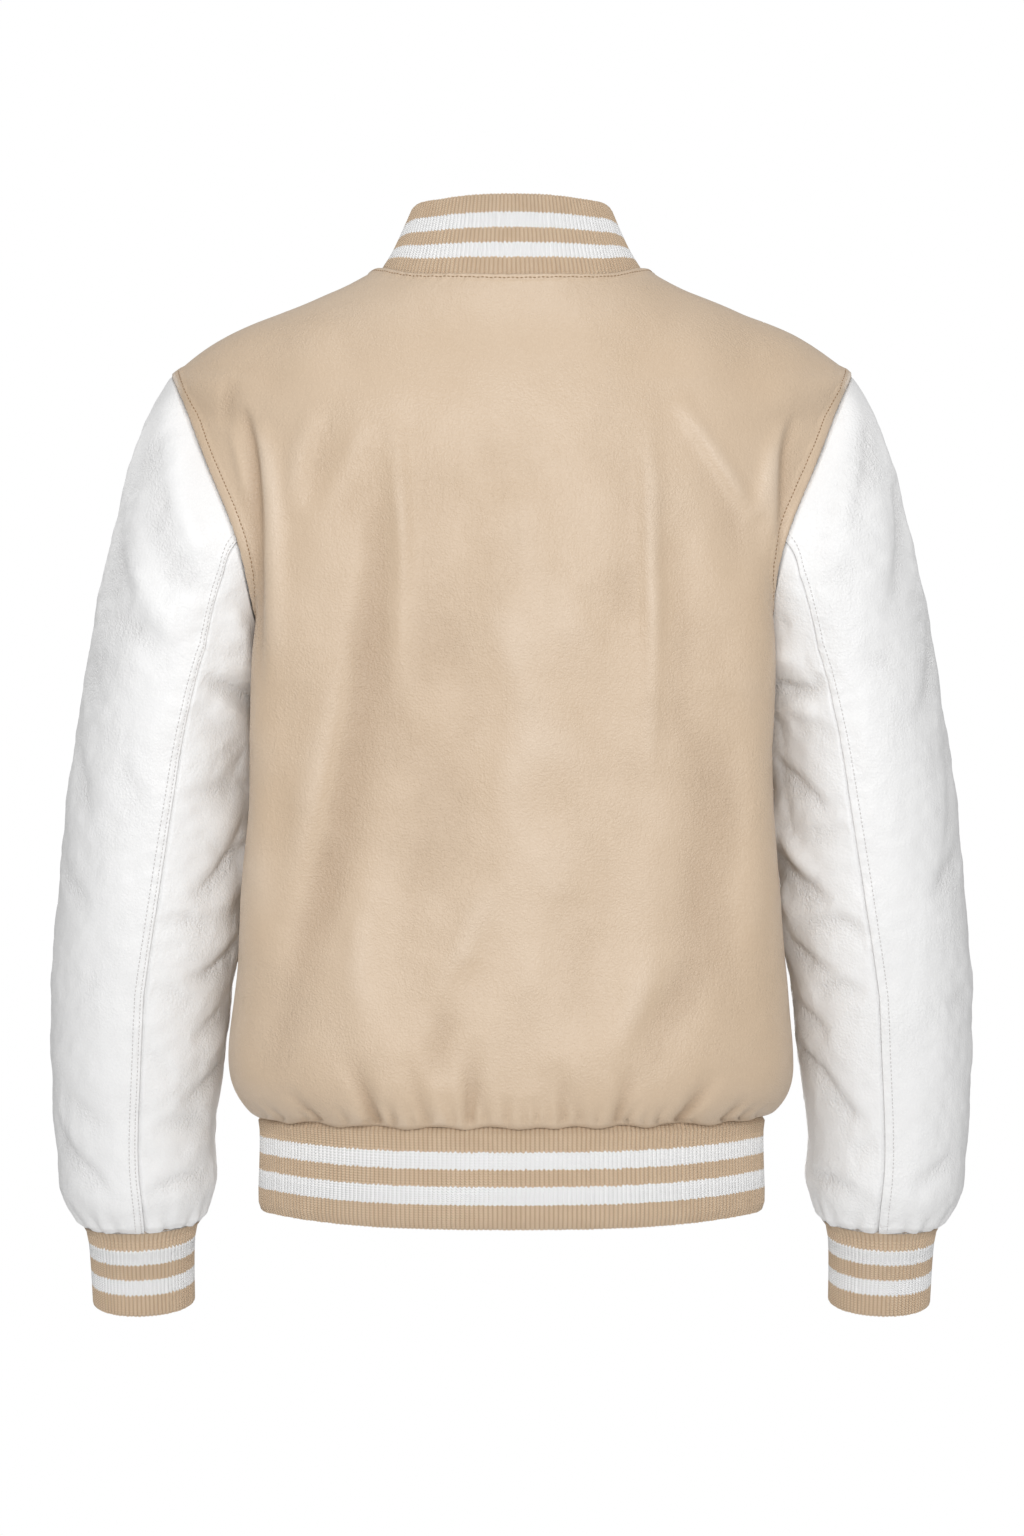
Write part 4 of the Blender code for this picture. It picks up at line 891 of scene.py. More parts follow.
def panel(table, other_table, columns, folds, gathers, side, under=0.0, whole=False):
    """A torso panel's outer points with all its relief, and the distances that its stitching needs."""
    rows, points, to_edge, to_front = panel_grid(table, other_table, columns, whole)
    points[:, :, 0] *= side
    normals = facing_out(surface_normals(points), points, np.zeros(3))
    mirrored = points * (side, 1, 1)
    height, sideways, above, to_armhole, relief = panel_relief(
        rows, mirrored, to_edge, to_front, folds, gathers, whole)
    height -= under * lapped(points[:, :, 0])
    points = raised(points, normals, height, sideways)
    for place, half_width, drop in HEM_LOBES:
        lobe = drop * bell(points[:, :, 0] - place, half_width) * np.exp(-above / LOBE_REACH)
        points[:, :, 2] -= lobe * smooth_step((above + LOBE_LEAD) / LOBE_RISE)
    return {"points": points, "rows": rows, "to_front": to_front, "to_neck": lengths_along(points, 0),
            "to_armhole": to_armhole, "relief": relief}


# ---------------------------------------------------------------- sleeves

def armhole_line():
    """The left armhole edge with its angles: shoulder tip at 0, down the back to 180, then up the front."""
    rows = np.linspace(TIP, UNDERARM, ARMHOLE_STEPS + 1)
    lines = armhole_edges(rows)
    angles = [180.0 * length / length[-1] for length in map(run_along, lines)]
    line = np.concatenate([lines[0], lines[1][-2::-1]])
    turns = np.concatenate([angles[0], 360.0 - angles[1][-2::-1]])
    back = np.interp(BACK_NOTCH, rows, angles[0])
    front = 360.0 - np.interp(FRONT_NOTCH, rows, angles[1])
    return line, turns, back, front


def ring_points(table, angles):
    """Rings of a sleeve or a cuff: outermost point at 0 degrees, back at 90, innermost at 180."""
    values = dict(zip(SLEEVE_COLUMNS, np.array(table, float).T[:, :, None]))
    turn = np.radians(angles)[None, :]
    mid_x, half_x = (values["outer_x"] + values["inner_x"]) / 2, (values["outer_x"] - values["inner_x"]) / 2
    mid_z, half_z = (values["outer_z"] + values["inner_z"]) / 2, (values["outer_z"] - values["inner_z"]) / 2
    x = mid_x + half_x * np.cos(turn)
    y = values["mid_y"] + values["half_depth"] * np.sin(turn)
    z = mid_z + half_z * np.cos(turn) - values["back_drop"] * np.sin(turn)
    return np.stack([x, y, z], 2)


def sleeve_start(turns):
    """Where a sleeve begins, just clear of the armhole, and the line's direction there."""
    line, known, _, _ = armhole_line()
    start = points_between(turns, known, line)
    tangent = (points_between(np.mod(turns + TANGENT_TURN, 360.0), known, line)
               - points_between(np.mod(turns - TANGENT_TURN, 360.0), known, line))
    return start, unit(tangent)


def sleeve_grid(turns):
    """A left-hand sleeve's smooth points between two seams, with the angle and the ring of each."""
    wrapped = np.mod(turns, 360.0)
    start, tangent = sleeve_start(wrapped)
    _, _, back, front = armhole_line()
    seam_rows, back_angles, front_angles = np.array(((0, back, front),) + SLEEVE_SEAMS, float).T
    outline = np.array([(row[0], 0.0, row[1]) for row in SLEEVE])
    run = np.concatenate([[0.0], CAP_RUN + run_along(outline)])
    rows = np.interp(edge_spacing(run[-1], SLEEVE_ROW_COUNT), run, range(len(SLEEVE) + 1))
    points, angles = [], []
    for row in rows:
        here = (0.0, np.interp(row, seam_rows, back_angles), np.interp(row, seam_rows, front_angles), 360.0)
        angle = np.interp(wrapped, (0.0, back, front, 360.0), here)
        rings = ring_points(SLEEVE, angle)
        lead = rings[0] - start
        lead = unit(lead - tangent * np.sum(lead * tangent, axis=1, keepdims=True))
        points.append(natural_spline(np.concatenate([[start - TUCK * lead], rings]), row)[0])
        angles.append(angle)
    return rows, np.stack(points), np.stack(angles)


def signed(angles):
    """Angles brought to between -180 and 180 degrees."""
    return np.mod(angles + 180.0, 360.0) - 180.0


def unrolled(path):
    """A path of (angle, z) on a sleeve with its angles as lengths."""
    return [(math.radians(angle) * SLEEVE_RADIUS, level) for angle, level in path]


def sleeve_folds(side_name):
    """A sleeve's folds with angles as lengths, and much the same ones on the side turned to the front."""
    folds = []
    for path, half_width, height in SLEEVE_FOLDS[side_name]:
        hidden = [(360.0 - angle + HIDDEN_TURN, level - HIDDEN_DROP) for angle, level in path]
        folds.append((unrolled(path), half_width, height))
        folds.append((unrolled(hidden), half_width, HIDDEN_SHARE * height))
    return folds


def sleeve_relief(rows, points, angles, to_back_seam, to_front_seam, side_name, stitched):
    """Over a sleeve's smooth points: heights, moves sideways, distances above the cuff, and folds alone."""
    unbroken = signed(angles) if stitched else angles
    across, up = np.radians(unbroken) * SLEEVE_RADIUS, points[:, :, 2]
    full_turn = 2.0 * math.pi * SLEEVE_RADIUS
    from_top = lengths_along(points, 0)
    above = from_top[-1:] - from_top
    fade = (smooth_step(rows / TOP_FADE_ROWS) * smooth_step((len(SLEEVE) - rows) / END_FADE_ROWS))[:, None]
    calm = faded(OUTER_CALM, smooth_step(np.abs(signed(angles)) / OUTER_ANGLE))
    folds = sleeve_folds(side_name)
    relief = sum(fold_heights(across + turn, up, folds) for turn in (-full_turn, 0.0, full_turn))
    outer_folds = [(unrolled(path), *size) for path, *size in OUTER_FOLDS]
    relief = (relief * calm + fold_heights(across, up, outer_folds)) * fade
    fine = ripples(across, up, [(seed + SEED_STEPS[side_name], *size) for seed, *size in SLEEVE_RIPPLES])
    relief += fine * smooth_step(from_top / SLEEVE_RIPPLE_RUN + SLEEVE_RIPPLE_SHARE)
    height = relief - SEAM_ROLL * bell(to_front_seam, ROLL_WIDTH)
    height -= (BODY_WALL + TUCK_CLEARANCE) * tucked_share(from_top - TUCK)
    if stitched:
        band = SLEEVE_STEP * raised_band(to_back_seam, SLEEVE_BAND)
        height += band - SLEEVE_ROLL * bell(to_back_seam, ROLL_WIDTH / 2)
        for inset in SLEEVE_STITCHES[side_name]:
            height += SLEEVE_GROOVE_SHARE * stitched_line(to_back_seam, inset)
        pucker = np.cos(2.0 * math.pi * up / PUCKER_WAVE + SLEEVE_PUCKER_SHIFT * fine)
        height += PUCKER * pucker * bell(to_back_seam - SLEEVE_BAND / 2, SLEEVE_BAND)
    else:
        for to_seam in (to_back_seam, to_front_seam):
            height -= (SLEEVE_WALL + TUCK_CLEARANCE) * tucked_share(to_seam)
    rise = np.clip((above - CUFF_TURN) / CUFF_GATHER_REACH, 0.0, 1.0)
    sideways = puff(above, CUFF_PUFF_START)
    for number, angle in enumerate(CUFF_GATHER_ANGLES):
        lean = (number % CUFF_GATHER_LEANS - CUFF_GATHER_LEANS // 2) * CUFF_GATHER_LEAN
        off = signed(angles - angle - lean * rise)
        depth = CUFF_GATHER_DEPTH * (1.0 if number % 2 else CUFF_SHALLOW_SHARE)
        sideways -= depth * (1.0 - rise) * bell(off, CUFF_GATHER_WIDTH * (1.0 + rise))
    return height, sideways, above, relief


def sleeve_panel(side_name, piece, columns):
    """The upper or under sleeve's outer points with relief, and the distances its stitching needs."""
    _, _, back, front = armhole_line()
    first, last = (front - 360.0, back) if piece == "upper" else (back, front)
    length = (last - first) * DEGREE_LENGTH
    turns = first + edge_spacing(length, columns) / DEGREE_LENGTH
    pull = SEAM_PULL if piece == "upper" else -TUCK
    turns[0] += pull / DEGREE_LENGTH
    turns[-1] -= pull / DEGREE_LENGTH
    rows, points, angles = sleeve_grid(turns)
    run = lengths_along(points, 1)
    to_last = run[:, -1:] - run + pull
    run = run + pull
    to_back_seam, to_front_seam = (to_last, run) if piece == "upper" else (run, to_last)
    normals = facing_out(surface_normals(points), points, np.array((SLEEVE_MIDDLE, 0.0, 0.0)))
    height, sideways, above, relief = sleeve_relief(
        rows, points, angles, to_back_seam, to_front_seam, side_name, piece == "upper")
    points = raised(points, normals, height, sideways)
    lobes = 0.5 + 0.5 * np.cos(np.radians(angles) * CUFF_LOBES)
    points[:, :, 2] -= CUFF_LOBE * lobes * np.exp(-above / LOBE_REACH)
    if side_name == "right":
        points[:, :, 0] *= -1
    return {"points": points, "to_seam": to_back_seam, "relief": relief + sideways}


# ---------------------------------------------------------------- rib knit

def even_columns(line, count, closed=False):
    """Points at equal steps along a line of points: count steps, with both ends unless closed."""
    if closed:
        line = np.concatenate([line, line[:1]])
    length = run_along(line)
    places = np.linspace(0.0, length[-1], count + 1)[:count if closed else count + 1]
    return points_between(places, length, line)


def hem_rings(columns):
    """Rings of the waistband from the left front edge round to the right, which is laid under the left."""
    last = len(BACK) - 1
    front = section_controls(FRONT, BACK, [last])[0]
    back = section_controls(BACK, FRONT, [last])[0]
    loop = even_columns(loop_around(front, back, -LAP), columns)
    base = np.stack([loop, loop - (0, 0, HEM_RINGS[-1][0])])
    normals = facing_out(surface_normals(base), base, np.zeros(3))[0]
    behind = smooth_step((loop[:, 1:2] / loop[:, 1].max() - SAG_START) / (1.0 - SAG_START))
    rings = []
    for drop, swell in HEM_RINGS:
        sag = HEM_BACK_SAG * smooth_step(drop / SAG_DROP) * behind
        rings.append(loop + normals * swell - (0, 0, 1) * (drop + SEAM_GAP + sag))
    right_front = (np.arange(columns + 1) > columns / 2) & (loop[:, 1] < 0.0)
    under = (RIB_WALL + RIB_HEIGHT + LAP_CLEARANCE) * lapped(loop[:, 0]) * right_front
    return np.stack(rings) - normals[None] * under[None, :, None]


def collar_loop(ring):
    """One ring of the collar, from its left end around the back to its right end."""
    row = dict(zip(COLLAR_COLUMNS, ring))
    side = (row["side_x"], 0.0, row["side_z"])
    halves = []
    for end, (mid_wide, mid_deep, corner_wide, corner_deep) in COLLAR_SHAPE.items():
        centre_y, centre_z = row[f"{end}_y"], row[f"{end}_z"]
        fall = (row["side_z"] if end == "front" else 2.0 * row["corner_z"] - centre_z) - centre_z
        halves.append(np.array((
            (0.0, centre_y, centre_z),
            (row["side_x"] * mid_wide, centre_y * mid_deep, centre_z + MID_FALL * fall),
            (row["side_x"] * corner_wide, centre_y * corner_deep, centre_z + CORNER_FALL * fall),
            side)))
    front = np.concatenate([halves[0], halves[1][[CORNER]]])
    back = np.concatenate([halves[1], halves[0][[CORNER]]])
    return loop_around(front, back, COLLAR_PARTING)


def rib_grid(rings, ribs, closed):
    """A folded rib-knit band: outer rows from the seam to the fold, round it and back up inside.

    Returns the points, and for each one its rib number and its share of the height from the seam.
    """
    run = lengths_along(rings, 0).mean(axis=1)
    fold = RIB_WALL / 2
    outer_places = run[-1] * np.array(RIB_ROWS)
    outer_places[-1] = run[-1] - fold
    outer = natural_spline(rings, np.interp(outer_places, run, range(len(rings))))
    padded = np.concatenate([outer[:, -1:], outer, outer[:, :1]], 1) if closed else outer
    normals = facing_out(surface_normals(padded), padded, padded.mean(axis=(0, 1)))
    normals = normals[:, 1:-1] if closed else normals
    down = unit(outer[-1] - outer[-2])
    out = normals[-1]
    arc = [outer[-1] - out * fold * (1.0 - math.cos(turn)) + down * fold * math.sin(turn)
           for turn in np.radians(FOLD_TURNS)]
    inner_rows = [len(outer) - 1, len(outer) // 2, 0]
    inner = [outer[row] - normals[row] * RIB_WALL for row in inner_rows]
    points = np.concatenate([outer, arc, inner])
    arc_normals = [out * math.cos(turn) + down * math.sin(turn) for turn in np.radians(FOLD_TURNS)]
    all_normals = np.concatenate([normals, arc_normals, [-normals[row] for row in inner_rows]])
    outer_share = outer_places / run[-1]
    share = np.concatenate([outer_share, np.ones(len(arc)), 2.0 - outer_share[inner_rows]])
    relief = np.concatenate([[RIB_AT_SEAM], np.ones(len(outer) + len(arc) - 1),
                             np.full(len(inner) - 1, RIB_INSIDE), [RIB_AT_SEAM]])
    rib = np.arange(points.shape[1]) / RIB_COLUMNS
    chance = np.random.default_rng(ribs)
    uneven = chance.uniform(*RIB_RANGE, ribs + 2)[rib.astype(int)]
    round_top = 1.0 - np.abs(2.0 * (rib % 1.0) - 1.0) ** RIB_SHARPNESS
    height = RIB_HEIGHT * relief[:, None] * (uneven * round_top)[None, :]
    sway = np.cumsum(chance.normal(0.0, RIB_SWAY, (len(points), ribs + 2)), axis=0)[:, rib.astype(int)]
    along = unit(np.gradient(points, axis=1))
    points = points + all_normals * height[:, :, None] + along * (sway * round_top)[:, :, None]
    rib_number = np.broadcast_to(rib, points.shape[:2])
    share = np.broadcast_to(share[:, None], points.shape[:2])
    return points, rib_number, share


# ---------------------------------------------------------------- meshes

def new_object(name, vertices, face_sets, finishes, uv=None, shading_relief=None):
    """An object from sets of faces. Each set's faces have equally many corners and one material's index."""
    corners = np.concatenate([faces.ravel() for faces, _ in face_sets]).astype(np.int32)
    sizes = np.concatenate([np.full(len(faces), faces.shape[1]) for faces, _ in face_sets])
    chosen = np.concatenate([np.full(len(faces), finish) for faces, finish in face_sets])
    mesh = bpy.data.meshes.new(name)
    mesh.vertices.add(len(vertices))
    mesh.vertices.foreach_set("co", (np.asarray(vertices) * MM).ravel())
    mesh.loops.add(len(corners))
    mesh.loops.foreach_set("vertex_index", corners)
    mesh.polygons.add(len(sizes))
    mesh.polygons.foreach_set("loop_start", np.cumsum(sizes) - sizes)
    mesh.polygons.foreach_set("material_index", chosen)
    mesh.update(calc_edges=True)
    for finish in finishes:
        mesh.materials.append(finish)
    if uv is not None:
        layer = mesh.uv_layers.new(name="cloth")
        layer.data.foreach_set("uv", np.asarray(uv)[corners].ravel())
    if shading_relief is not None:
        mesh.attributes.new("shading_relief", "FLOAT", "POINT").data.foreach_set("value", shading_relief)
    mesh.validate()
    mesh.shade_smooth()
    made = bpy.data.objects.new(name, mesh)
    bpy.context.scene.collection.objects.link(made)
    return made


def grid_faces(rows, columns, first=0, wrap=False):
    """Four-cornered faces of a grid whose points are numbered row by row from first."""
    row = np.arange(rows - 1)[:, None]
    column = np.arange(columns if wrap else columns - 1)[None, :]
    following = (column + 1) % columns
    corners = (row * columns + column, row * columns + following,
               (row + 1) * columns + following, (row + 1) * columns + column)
    return first + np.stack([corner + 0 * row for corner in corners], 2).reshape(-1, 4)


def shell(name, piece, wall, middle, finishes):
    """A panel with its thickness: fine outer points, every second one again inside, and a rim."""
    outer = piece["points"]
    rows, columns = outer.shape[:2]
    grid_normals = surface_normals(outer)
    outward = facing_out(grid_normals, outer, middle)
    turned = np.sum(grid_normals * outward) > 0
    inner = (outer - outward * wall)[::2, ::2]
    inner_rows, inner_columns = inner.shape[:2]
    vertices = np.concatenate([outer.reshape(-1, 3), inner.reshape(-1, 3)])
    out = np.arange(rows * columns).reshape(rows, columns)
    into = rows * columns + np.arange(inner_rows * inner_columns).reshape(inner_rows, inner_columns)
    rim = []
    for edge, inner_edge, forward in ((out[0], into[0], False), (out[:, -1], into[:, -1], False),
                                      (out[-1], into[-1], True), (out[:, 0], into[:, 0], True)):
        loop = np.stack([edge[:-2:2], edge[1:-1:2], edge[2::2], inner_edge[1:], inner_edge[:-1]], 1)
        rim.append(loop if forward else loop[:, ::-1])
    front = grid_faces(rows, columns)
    behind = grid_faces(inner_rows, inner_columns, rows * columns)[:, ::-1]
    rim = np.concatenate(rim)
    if turned:
        front, behind, rim = front[:, ::-1], behind[:, ::-1], rim[:, ::-1]
    uv = np.stack([lengths_along(outer, 1), -lengths_along(outer, 0)], 2)
    uv = np.concatenate([uv.reshape(-1, 2), uv[::2, ::2].reshape(-1, 2)]) * MM
    # The relief goes along as a point attribute, which the leather's painted shade and painted highlight
    # follow
    shading_relief = np.concatenate([piece["relief"].ravel(), piece["relief"][::2, ::2].ravel()])
    return new_object(name, vertices, ((front, 0), (rim, 0), (behind, 1)), finishes, uv, shading_relief)


def rib_band(name, rings, ribs, closed, finish):
    """A rib-knit band as one closed tube of rows, capped at its open ends."""
    points, rib, share = rib_grid(rings, ribs, closed)
    rows, columns = points.shape[:2]
    faces = grid_faces(rows, columns, wrap=closed)
    number = np.arange(rows * columns).reshape(rows, columns)
    around = columns if closed else columns - 1
    last, following = number[-1, :around], number[-1, np.arange(1, around + 1) % columns]
    first, first_following = number[0, :around], number[0, np.arange(1, around + 1) % columns]
    faces = np.concatenate([faces, np.stack([last, following, first_following, first], 1)])
    middle = points.mean(axis=(0, 1))
    step = np.cross(points[0, 1] - points[0, 0], points[1, 0] - points[0, 0])
    turned = np.sum(step * (points[0, 0] - middle) * LEVEL) < 0
    sets = [(faces[:, ::-1] if turned else faces, 0)]
    if not closed:
        for end, flip in ((number[:, 0], turned), (number[:, -1], not turned)):
            sets.append((end[None, ::-1] if flip else end[None], 0))
    uv = np.stack([rib.ravel(), share.ravel()], 1)
    return new_object(name, points.reshape(-1, 3), sets, (finish,), uv)


def snap(name, point, normal, finish):
    """A press-snap cap turned on a lathe, lying on the surface."""
    profile = np.array(SNAP_PROFILE)
    turn = np.linspace(0.0, 2.0 * math.pi, SNAP_SIDES, endpoint=False)
    outline = np.stack([profile[1:-1, 0, None] * np.cos(turn), profile[1:-1, 0, None] * np.sin(turn),
                        profile[1:-1, 1, None] + 0 * turn], 2)
    rings = len(outline)
    vertices = np.concatenate([outline.reshape(-1, 3), [(0, 0, profile[0, 1]), (0, 0, profile[-1, 1])]])
    around = np.arange(SNAP_SIDES)
    following = (around + 1) % SNAP_SIDES
    top, bottom = rings * SNAP_SIDES, rings * SNAP_SIDES + 1
    low = (rings - 1) * SNAP_SIDES
    fans = np.concatenate([np.stack([around, following, top + 0 * around], 1),
                           np.stack([low + following, low + around, bottom + 0 * around], 1)])
    turned = Vector(normal).to_track_quat("Z", "Y").to_matrix()
    vertices = vertices @ np.array(turned).T + np.asarray(point) + np.asarray(normal) * SNAP_LIFT
    sides = grid_faces(rings, SNAP_SIDES, wrap=True)[:, ::-1]
    return new_object(name, vertices, ((sides, 0), (fans, 0)), (finish,))


# ---------------------------------------------------------------- topstitching

def crossing(distance, points, normals, level):
    """Where each row of a grid, followed from its start, first comes to a distance: points and normals."""
    places, directions = [], []
    for far, line, out in zip(distance, points, normals):
        beyond = np.flatnonzero(far >= level)
        if not len(beyond) or beyond[0] == 0:
            continue
        at = beyond[0]
        part = (level - far[at - 1]) / max(far[at] - far[at - 1], TINY)
        places.append(line[at - 1] + part * (line[at] - line[at - 1]))
        directions.append(out[at])
    return np.array(places), np.array(directions)


def stitch_row(line, normals):
    """Short padded threads laid end to end, with gaps, along a line on the surface."""
    run = run_along(line)
    count = int((run[-1] - STITCH_PITCH) / STITCH_PITCH)
    starts = STITCH_PITCH * (0.5 + np.arange(count))
    turn = np.linspace(0.0, 2.0 * math.pi, STITCH_SIDES, endpoint=False)
    vertices = []
    for share, radius, lift in STITCH_FORM:
        at = starts + share * STITCH_LENGTH
        middle = points_between(at, run, line)
        out = unit(points_between(at, run, normals))
        along = points_between(at + STITCH_STEP, run, line) - points_between(at - STITCH_STEP, run, line)
        across = unit(np.cross(out, along))
        middle = middle + out * (lift * STITCH_RADIUS)
        ring = np.cos(turn)[:, None] * across[:, None] + np.sin(turn)[:, None] * out[:, None]
        vertices.append(middle[:, None] + STITCH_RADIUS * radius * ring)
    vertices = np.stack(vertices, 1)
    rings = len(STITCH_FORM)
    one = grid_faces(rings, STITCH_SIDES, wrap=True)
    first = np.arange(count)[:, None, None] * (rings * STITCH_SIDES)
    return vertices.reshape(-1, 3), (one[None] + first).reshape(-1, 4)


def stitching(name, lines, finish):
    """All the topstitching of one piece as one object."""
    vertices, faces, total = [], [], 0
    for line, normals in lines:
        if len(line) < LEAST_POINTS:
            continue
        points, corners = stitch_row(line, normals)
        vertices.append(points)
        faces.append(corners + total)
        total += len(points)
    return new_object(name, np.concatenate(vertices), ((np.concatenate(faces), 0),), (finish,))


def mirrored_grid(*grids):
    """The same grids, each with its columns in the other order."""
    return [grid[:, ::-1] for grid in grids]


def turned_grid(*grids):
    """The same grids with rows for columns."""
    return [np.swapaxes(grid, 0, 1) for grid in grids]


# ---------------------------------------------------------------- materials

def new_material(name, roughness, **settings):
    """A Principled material: its node tree, its shader, and its texture coordinates."""
    made = bpy.data.materials.new(name)
    made.use_nodes = True
    tree = made.node_tree
    shader = tree.nodes["Principled BSDF"]
    shader.inputs["Roughness"].default_value = roughness
    for label, value in settings.items():
        shader.inputs[label.replace("_", " ")].default_value = value
    return made, tree, shader, tree.nodes.new("ShaderNodeTexCoord")


def fill(tree, socket, value):
    """Links a socket to another node's output, or sets its own value."""
    if isinstance(value, bpy.types.NodeSocket):
        tree.links.new(value, socket)
    else:
        socket.default_value = value


def calculate(tree, operation, *values):
    """A maths node's result."""
    node = tree.nodes.new("ShaderNodeMath")
    node.operation = operation
    for socket, value in zip(node.inputs, values):
        fill(tree, socket, value)
    return node.outputs[0]


def ramp(tree, value, low, high):
    """A value scaled so that low gives 0 and high gives 1, with a smooth start and end."""
    node = tree.nodes.new("ShaderNodeMapRange")
    node.interpolation_type = "SMOOTHSTEP"
    fill(tree, node.inputs["Value"], value)
    node.inputs["From Min"].default_value = low
    node.inputs["From Max"].default_value = high
    return node.outputs["Result"]


def mixed(tree, share, first, second):
    """A colour between two others."""
    node = tree.nodes.new("ShaderNodeMix")
    node.data_type = "RGBA"
    for label, value in (("Factor", share), ("A", first), ("B", second)):
        socket = [one for one in node.inputs if one.name == label and one.enabled][0]
        fill(tree, socket, value if isinstance(value, (float, bpy.types.NodeSocket)) else (*value, 1.0))
    return [one for one in node.outputs if one.enabled][0]


def times(tree, first, second):
    """The product of two values."""
    return calculate(tree, "MULTIPLY", first, second)


def plus(tree, first, second):
    """The sum of two values."""
    return calculate(tree, "ADD", first, second)


def noise(tree, place, scale, detail=2.0, rough=0.5, distortion=0.0):
    """A soft random pattern, about 0.5 on the whole."""
    node = tree.nodes.new("ShaderNodeTexNoise")
    fill(tree, node.inputs["Vector"], place)
    node.inputs["Scale"].default_value = scale
    node.inputs["Detail"].default_value = detail
    node.inputs["Roughness"].default_value = rough
    node.inputs["Distortion"].default_value = distortion
    return node.outputs[0]


def cells(tree, place, scale, smooth):
    """A pattern of rounded cells: distance from the nearest middle."""
    node = tree.nodes.new("ShaderNodeTexVoronoi")
    node.feature = "SMOOTH_F1"
    fill(tree, node.inputs["Vector"], place)
    node.inputs["Scale"].default_value = scale
    node.inputs["Smoothness"].default_value = smooth
    return node.outputs["Distance"]


def stretched(tree, place, scale):
    """Texture coordinates scaled differently in each direction."""
    node = tree.nodes.new("ShaderNodeMapping")
    fill(tree, node.inputs["Vector"], place)
    node.inputs["Scale"].default_value = scale
    return node.outputs[0]


def bumped(tree, shader, height, distance):
    """Shades a surface as if a height of 1 stood out by the distance, in metres."""
    node = tree.nodes.new("ShaderNodeBump")
    node.inputs["Strength"].default_value = 1.0
    node.inputs["Distance"].default_value = distance
    fill(tree, node.inputs["Height"], height)
    tree.links.new(node.outputs[0], shader.inputs["Normal"])


def leather(name, look):
    """Leather with pebbled grain and wrinkles, painted shade in its hollows, painted highlight on its
    ridges.
    """
    made, tree, shader, places = new_material(
        name, look["roughness"], Specular_IOR_Level=look["specular"], Sheen_Weight=look["sheen"],
        Sheen_Roughness=0.6)
    place = places.outputs["Object"]
    attribute = tree.nodes.new("ShaderNodeAttribute")
    attribute.attribute_name = "shading_relief"
    shading_relief = attribute.outputs["Fac"]

    warp = noise(tree, place, scale=90.0, distortion=1.5)
    pebble = cells(tree, place, look["pebbles"], smooth=0.7)
    fine = noise(tree, place, look["pebbles"] * FINE_SCALE, detail=3.0, rough=0.6)
    wrinkle = noise(tree, stretched(tree, place, (1.0, 1.0, WRINKLE_STRETCH)), look["wrinkles"],
                    detail=4.0, rough=0.65, distortion=1.2)
    patches = ramp(tree, noise(tree, place, scale=16.0, detail=3.0, rough=0.55), low=0.40, high=0.70)
    strength = calculate(tree, "MULTIPLY_ADD", patches, look["patchiness"], 1.0 - look["patchiness"])
    height = times(tree, pebble, look["pebble_height"])
    height = plus(tree, height, times(tree, fine, look["fine_height"]))
    height = plus(tree, height, times(tree, wrinkle, look["wrinkle_height"]))
    strength = plus(tree, strength, times(tree, ramp(tree, shading_relief, *CREASED_RANGE), look["creased"]))
    bumped(tree, shader, times(tree, height, strength), look["bump"])

    broad = ramp(tree, noise(tree, place, scale=7.0, detail=3.0, rough=0.55), low=0.25, high=0.75)
    tone = mixed(tree, broad, look["colour"], look["second_colour"])
    # Painted shade: the leather is darkened towards the deep colour in its creases, hollows and gathers,
    # where shade falls
    depth = ramp(tree, shading_relief, *PAINTED_SHADE_RANGE)
    tone = mixed(tree, times(tree, depth, look["painted_shade_share"]), tone, look["deep_colour"])
    # Painted highlight: the leather is made paler on its ridges, where the light catches them
    painted_ridge_highlight = ramp(tree, shading_relief, *PAINTED_HIGHLIGHT_RANGE)
    tone = mixed(tree, times(tree, painted_ridge_highlight, look["painted_highlight_share"]), tone, look["painted_highlight_colour"])
    mottle = ramp(tree, plus(tree, pebble, times(tree, warp, WARP_SHARE)), low=0.35, high=0.95)
    tone = mixed(tree, times(tree, mottle, look["mottle_share"]), tone, look["deep_colour"])
    tree.links.new(tone, shader.inputs["Base Color"])
    least = look["roughness"] - ROUGHNESS_RANGE / 2
    rough = calculate(tree, "MULTIPLY_ADD", fine, ROUGHNESS_RANGE, least)
    tree.links.new(rough, shader.inputs["Roughness"])
    return made


def stripe_share(tree, level, edges):
    """0 in the tan stripes and 1 in the white ones, which change at the edges."""
    stripes = 0.0
    for number, edge in enumerate(edges):
        over = ramp(tree, level, edge - STRIPE_BLUR, edge + STRIPE_BLUR)
        stripes = plus(tree, times(tree, over, -1.0 if number % 2 else 1.0), stripes)
    return stripes


